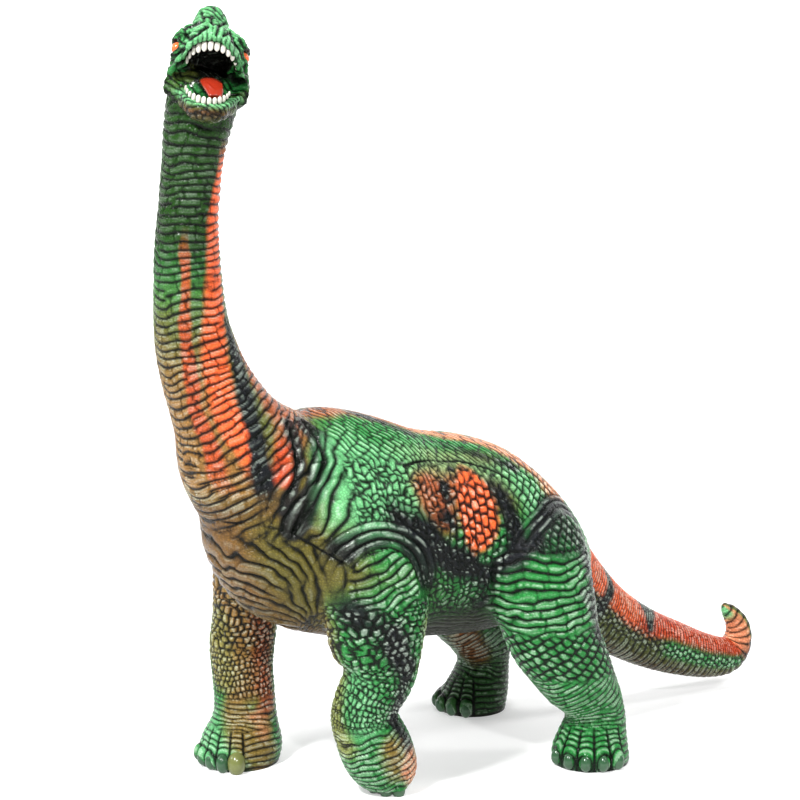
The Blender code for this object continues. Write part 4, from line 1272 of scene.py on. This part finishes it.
    def head(self):
        """Green plates, a pale fluted lip, olive cheeks, a brown chin, painted shadow in the eye sockets
        and on the gum under the lip, and painted shade in the mouth's hollow.
        """
        f, l, u = self.at.local.T
        head = self.at.w["head"]
        drift = 0.3 * self.drift
        up = FACE_UP[0] * f + FACE_UP[1] * u + drift
        front = step(-8, 2, f)
        self.spray(DARK_GREEN, head)
        self.spray(GREEN, head * front * 0.9)
        self.spray(PALE_GREEN, head * front * step(-4, 6, up) * (1 - step(13, 19, np.abs(l))) * 0.5)
        lip_edge = 10 - 13 * ((l - 1.5) / 17) ** 2
        self.spray(PALE_GREEN, head * band(lip_edge - 1, lip_edge + 7, 2, up) * step(4, 10, f) * 0.6)
        self.spray(OLIVE * 0.7, head * (1 - step(-17, -12, up)) * front)
        self.spray(BROWN * 1.8, head * (1 - step(-31, -28, up)) * step(-6, 4, f) * 0.9)
        self.spray(BLACK, head * (1 - step(-38, -32, up)) * 0.8)
        # Painted shadow in the eye sockets under the brows
        socket = np.linalg.norm(np.stack([f - 5.6, np.abs(l) - 20.4, u - 0.3], axis=1), axis=1)
        self.spray(BLACK, head * (1 - step(4.3, 5.4, socket)))
        back = np.array(jaw_matrix().inverted())
        jaw_f, jaw_l, jaw_u = (self.at.local @ back[:3, :3].T + back[:3, 3]).T
        rim = step(9, 12, np.hypot(jaw_l, 0.6 * (jaw_f - 14)))
        rim = rim * step(8, 14, jaw_f) * band(-1.5, 5, 1.5, jaw_u)
        self.spray(PALE_GREEN, head * rim * (1 - step(-22, -14, up)) * 0.85)
        # Painted shade over the mouth's hollow, with the lit flesh sprayed over it below
        inside = cavity_share(self.at.local) * head
        self.spray(MOUTH_SHADE, inside)
        flesh = inside * step(-12, 2, jaw_f) * (1 - step(-12, -7, up))
        flesh = flesh * (1 - step(8, 14, jaw_u + 0.2 * jaw_f))
        self.spray(GREEN * 0.9, flesh * 0.9)
        cheek = inside * (1 - step(-9, -4, l)) * band(-17, -6, 2, up)
        self.spray(OLIVE * 0.6, cheek * 0.8)
        # Painted shadow of the lip on the gum, which follows the upper teeth's oval from inside
        oval = np.hypot((f - 5) / 20.6, l / 14.6)
        gum = head * band(-13.5, -8.5, 1.2, u) * step(0.55, 0.75, oval)
        gum = gum * (1 - step(1.02, 1.12, oval)) * step(4, 8, f)
        self.spray(BROWN * 0.5, gum)


def painted(coat, relief, lit):
    """The sprayed coat with painted shade in the grooves and on slopes turned from the light, and painted
    highlights on ridge tops and on slopes facing the light.
    """
    tint = coat.tint
    # Painted shade: grooves and slopes turned from the light darken towards near-black, and each ridge is
    # painted darker low down and lighter on top
    dark = 0.98 * (1 - step(0.14, 0.88, relief.ridge + 0.35 * np.minimum(lit, 0)))
    tint = tint * (0.6 + 0.6 * step(0.3, 0.9, relief.ridge))[:, None]
    tint = tint * (1 - dark)[:, None] + GROOVE_SHADE * dark[:, None]
    # Painted highlights, in patches, on slopes facing the light and on the highest ridge tops
    patchy = step(-0.6, 0.2, noise(relief.points, 3.2, 7))
    lit_highlight = step(0.16, 0.4, lit) * step(0.45, 0.75, relief.ridge) * patchy
    top = 0.5 * step(0.88, 0.98, relief.ridge) * patchy
    share = (0.95 * coat.highlight_share * np.maximum(lit_highlight, top))[:, None]
    return tint * (1 - share) + (0.65 * PAINTED_HIGHLIGHT + 0.35 * np.minimum(2.2 * coat.tint, 1)) * share


def cavity_share(local):
    """1 on the walls of the mouth's hollow and 0 outside it."""
    share = np.zeros(len(local))
    back = np.array(jaw_matrix().inverted())
    jaw_local = local @ back[:3, :3].T + back[:3, 3]
    hollows = [(local, UPPER_MOUTH), (local, MOUTH_CORNERS), (jaw_local, JAW_BOWL), (local, THROAT)]
    for where, (centre, half) in hollows:
        ratio = np.linalg.norm((where - np.array(centre)) / np.array(half), axis=1)
        share = np.maximum(share, 1 - step(1.0, 1.06, ratio))
    return share


def set_maps(obj, rgb, relief):
    """Writes the skin's point maps: the paint and the coordinates of the finest scales."""
    mesh = obj.data
    coat = mesh.color_attributes.new("paint", "FLOAT_COLOR", "POINT")
    rgba = np.concatenate([rgb, np.ones((len(rgb), 1))], axis=1)
    coat.data.foreach_set("color", rgba.astype(np.float32).ravel())
    layer = mesh.attributes.new("cells_at", "FLOAT_VECTOR", "POINT")
    layer.data.foreach_set("vector", relief.cells_at.astype(np.float32).ravel())


# Materials

def new_material(name):
    """A material with its node tree and its shader."""
    mat = bpy.data.materials.new(name)
    mat.use_nodes = True
    return mat, mat.node_tree, mat.node_tree.nodes["Principled BSDF"]


def feed(tree, node, inputs):
    """Gives each named input its value, or links it to another node's output."""
    for name, value in inputs.items():
        if isinstance(value, bpy.types.NodeSocket):
            tree.links.new(value, node.inputs[name])
        else:
            node.inputs[name].default_value = value


def add_node(tree, kind, inputs, **settings):
    """A new shader node with its settings and its inputs."""
    node = tree.nodes.new("ShaderNode" + kind)
    for name, value in settings.items():
        setattr(node, name, value)
    feed(tree, node, inputs)
    return node


def speckle(tree, size):
    """A noise with features about size millimetres wide."""
    where = add_node(tree, "TexCoord", {}).outputs["Object"]
    scale = 1 / (size * MM)
    return add_node(tree, "TexNoise", {"Vector": where, "Scale": scale, "Detail": 2.0}).outputs["Fac"]


def add_bump(tree, shader, height, strength, depth):
    """Lets a height of depth millimetres bend the shader's normals."""
    inputs = {"Height": height, "Strength": strength, "Distance": depth * MM}
    feed(tree, shader, {"Normal": add_node(tree, "Bump", inputs).outputs["Normal"]})


def colour_mix(tree, share, a, b):
    """Mixes two colours by a socket."""
    return add_node(tree, "Mix", {"Factor": share, "A": a, "B": b}, data_type="RGBA").outputs["Result"]


def skin_material():
    """Glossy painted vinyl with scales and flecks too fine for the mesh, and painted shade in the cracks
    between the scales.
    """
    mat, tree, shader = new_material("painted_vinyl")
    where = add_node(tree, "Attribute", {}, attribute_name="cells_at").outputs["Vector"]
    paint = add_node(tree, "Attribute", {}, attribute_name="paint").outputs["Color"]
    cells = add_node(tree, "TexVoronoi", {}, feature="DISTANCE_TO_EDGE")
    feed(tree, cells, {"Vector": where, "Scale": 1.0})
    rise = {"Value": cells.outputs["Distance"], "From Min": 0.0, "From Max": 0.25}
    dome = add_node(tree, "MapRange", rise, interpolation_type="SMOOTHSTEP").outputs["Result"]
    height = add_node(tree, "Math", {0: dome, 1: speckle(tree, 2.2)}, operation="ADD").outputs[0]
    add_bump(tree, shader, height, 0.75, 0.35)
    # Painted shade: the cracks between the finest scales are mixed towards near-black
    crack_shade = add_node(tree, "Math", {0: 1.0, 1: dome}, operation="SUBTRACT").outputs[0]
    share = add_node(tree, "Math", {0: crack_shade, 1: 0.35}, operation="MULTIPLY").outputs[0]
    feed(tree, shader, {"Base Color": colour_mix(tree, share, paint, (*GROOVE_SHADE, 1))})
    feed(tree, shader, SKIN_GLOSS)
    return mat


def gloss_material(name, tint, rough):
    """A plain glossy paint with a fine grain and slight mottling."""
    mat, tree, shader = new_material(name)
    shade = tuple(c * 0.75 for c in tint)
    mottled = colour_mix(tree, speckle(tree, 3), (*shade, 1), (*tint, 1))
    feed(tree, shader, {"Base Color": mottled, "Roughness": rough})
    add_bump(tree, shader, speckle(tree, 1), 0.15, 0.3)
    return mat


# Setting the pieces in the row

def place(obj, material, slot, nodes=()):
    """Moves a piece to the row's frame, gives it its material and ties it to the frame."""
    obj.data.transform(Matrix.Translation(Vector(TO_ROW) * MM))
    obj.data.materials.clear()
    obj.data.materials.append(material)
    obj.data.shade_smooth()
    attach(obj, "root")
    if nodes:
        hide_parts(*nodes)
    return obj


# The stage

def stage_sheet(name, corners, grey, rough, glow):
    """A flat four-cornered sheet of the stage, which glows a little so that it stays white."""
    sheet = mesh_object(name, corners, [(0, 1, 2, 3)])
    mat, tree, shader = new_material(name)
    feed(tree, shader, {"Base Color": (grey, grey, grey, 1), "Roughness": rough})
    feed(tree, shader, {"Emission Color": (1, 1, 1, 1), "Emission Strength": glow})
    sheet.data.materials.append(mat)


def studio():
    """A pale floor, a white backdrop, soft lamps and the camera at the photo's angle."""
    corners = [(-1, -1, 0), (1, -1, 0), (1, 1, 0), (-1, 1, 0)]
    stage_sheet("floor", np.array(corners) * FLOOR_REACH, *FLOOR_PAINT)
    for name, offset, size, power in LAMPS:
        lamp(name, offset, size, power)
    world = bpy.data.worlds.new("studio")
    world.use_nodes = True
    light = {"Color": (1, 1, 1, 1), "Strength": WORLD_STRENGTH}
    feed(world.node_tree, world.node_tree.nodes["Background"], light)
    bpy.context.scene.world = world
    bpy.context.scene.view_settings.view_transform = "Standard"
    backdrop()
    camera()


def backdrop():
    """A white wall behind the toy, square to the camera."""
    a = math.radians(CAMERA_AZIMUTH)
    middle = np.array([-math.sin(a), math.cos(a), 0.0]) * BACKDROP_DISTANCE
    half = np.array([math.cos(a), math.sin(a), 0.0]) * BACKDROP_WIDTH / 2
    tall = np.array([0.0, 0.0, BACKDROP_HEIGHT])
    left, right = middle - half, middle + half
    stage_sheet("backdrop", [left, right, right + tall, left + tall], *BACKDROP_PAINT)


def lamp(name, offset, size, power):
    """A square soft lamp that looks at the toy."""
    light = bpy.data.lights.new(name, "AREA")
    light.size = size
    light.energy = power
    obj = linked(name, light)
    target = Vector((AIM + TO_ROW) * MM)
    obj.location = target + Vector(offset)
    obj.rotation_euler = (target - obj.location).to_track_quat("-Z", "Y").to_euler()


def camera():
    """The photo's camera: from the toy's left front, a little above its middle."""
    a, e = math.radians(CAMERA_AZIMUTH), math.radians(CAMERA_ELEVATION)
    back = Vector((math.sin(a) * math.cos(e), -math.cos(a) * math.cos(e), math.sin(e)))
    data = bpy.data.cameras.new("camera")
    data.lens = CAMERA_LENS
    data.sensor_width = 36.0
    obj = linked("camera", data)
    target = Vector((AIM + TO_ROW) * MM)
    obj.location = target + back * CAMERA_DISTANCE
    obj.rotation_euler = (-back).to_track_quat("-Z", "Y").to_euler()
    bpy.context.scene.camera = obj


def peg(matrix, at, half, sides=14, rings=9):
    """A rounded, squarish peg in the local axes of a matrix that works in millimetres."""
    angles = np.linspace(0, 2 * math.pi, sides, endpoint=False)
    c, s = np.cos(angles), np.sin(angles)
    square = np.stack([np.sign(c) * np.abs(c) ** 0.75, np.sign(s) * np.abs(s) ** 0.75], axis=1)
    turn = np.array(matrix)
    loops = []
    for t in np.linspace(-0.97, 0.97, rings):
        swell = (1 - abs(t) ** 3.5) ** 0.5
        flat = np.stack([square[:, 0] * half[0] * swell, square[:, 1] * half[1] * swell], axis=1)
        local = np.column_stack([flat, np.full(sides, t * half[2])]) + np.array(at)
        loops.append(local @ turn[:3, :3].T + turn[:3, 3])
    return ring_mesh("peg", loops)


def tooth_pieces(matrix, row):
    """Pegs round the front of an oval, their roots sunk into the gum."""
    count, centre, long, wide, lift, tall, thick = row
    made = []
    for i in range(count):
        share = i / (count - 1) - 0.5
        angle = math.radians(TOOTH_SWEEP * share)
        forward = long * math.cos(angle)
        size = 1.0 - 0.7 * abs(share) + 0.06 * math.sin(5.0 * i)
        at = Vector(centre) + Vector((forward, wide * math.sin(angle), lift * forward))
        out = Vector((math.cos(angle) / long, math.sin(angle) / wide, 0)).normalized()
        place_there = matrix @ Matrix.Translation(at) @ axes_along(out).to_4x4()
        made.append(peg(place_there, (0, 0, 0), (thick * size * 0.8, thick * size, tall * size)))
    return made


def nail_pieces():
    """A blunt nail at the tip of each toe, and the broad thumb claw by itself."""
    made, thumb = [], []
    for name, (x, y, reach, yaw, spread) in FEET.items():
        clawed = name == "front_right"
        for i, out in enumerate(toe_headings(yaw, spread)):
            size = Vector(NAIL_SIZE)
            if clawed:
                size *= FIRST_SCALE + (THUMB_SCALE - FIRST_SCALE) * (i / (TOES - 1)) ** 2
            tip = Vector((x, y, NAIL_HEIGHT)) + out * (reach + NAIL_REACH)
            is_thumb = clawed and i == TOES - 1
            if is_thumb:
                size.y *= THUMB_WIDENING
            (thumb if is_thumb else made).append(ball("nail", tip, size, axes_along(out), 28, 18))
    for out in folded_headings():
        tip = Vector(FOLDED_FOOT) + out * (FOLDED_REACH + FOLDED_NAIL_REACH)
        tip -= Vector((0, 0, FOLDED_NAIL_DROP))
        made.append(ball("nail", tip, FOLDED_NAIL_SIZE, None, 28, 18))
    return made, thumb


def make_eye(head, sign, name, material, back=0.0):
    """A glossy ball set in its socket, further back where the lids hide more of it."""
    x, y, z = EYE_PLACE
    eye = lump(head, (x - back, sign * y, z), [EYE_RADIUS] * 3, 32, 20)
    eye.name = name
    place(eye, material, "eyes", [name])


def make_skin(head, jaw):
    """The one skin with its relief and its paint."""
    skin = whole_skin(head, jaw)
    points, normals = read_points(skin)
    at = Regions(points, head)
    relief = Relief(points, at)
    # Nothing is moved at the floor or inside the mouth
    lift = relief.height * step(1.0, 3.0, points[:, 2])
    inside = cavity_share(at.local) * at.w["head"]
    shaped = points + normals * (lift * (1 - inside))[:, None]
    shaped[:, 2] = np.maximum(shaped[:, 2], 0)
    write_points(skin, shaped)
    # How far each slope turns towards the highlight direction, which sets its painted highlight or painted
    # shade
    lit = (read_points(skin)[1] - normals) @ HIGHLIGHT_FACING
    set_maps(skin, painted(Coat(points, at), relief, lit), relief)
    nodes = [n for n in frame["nodes"] if n not in ("eye_left", "eye_right", "tongue")]
    place(skin, skin_material(), "skin", nodes)


def make_teeth_and_nails(head, jaw):
    """Two rows of teeth, the nails and the thumb's claw."""
    enamel = gloss_material(*TOOTH_PAINT)
    place(joined(tooth_pieces(head, UPPER_TEETH), "teeth_upper"), enamel, "skin")
    place(joined(tooth_pieces(jaw, LOWER_TEETH), "teeth_lower"), enamel, "skin")
    horn = gloss_material(*NAIL_PAINT)
    nails, thumb = nail_pieces()
    place(flat_sole(joined(nails, "nails")), horn, "skin")
    place(flat_sole(joined(thumb, "thumb_claw")), gloss_material(*THUMB_PAINT), "skin")


def make_tongue(jaw):
    """The tongue with the raised rim of its tip, built in the jaw's axes."""
    rim = limb_loft(TONGUE_RIM, 14, 6, (0.0, 0.0, 1.0))
    tongue = joined([limb_loft(TONGUE, 24, 6, (0.0, 1.0, 0.0)), rim], "tongue_skin")
    tongue = fused(tongue, *TONGUE_GRID)
    matrix = jaw.copy()
    matrix.translation = matrix.translation * MM
    tongue.data.transform(matrix)
    place(tongue, gloss_material(*TONGUE_PAINT), "tongue", ["tongue"])


def main():
    head = head_matrix()
    jaw = head @ jaw_matrix()
    make_skin(head, jaw)
    make_teeth_and_nails(head, jaw)
    orange = gloss_material(*EYE_PAINT)
    make_eye(head, 1, "eye_left", orange, EYE_LEFT_BACK)
    make_eye(head, -1, "eye_right", orange)
    make_tongue(jaw)


main()
studio()
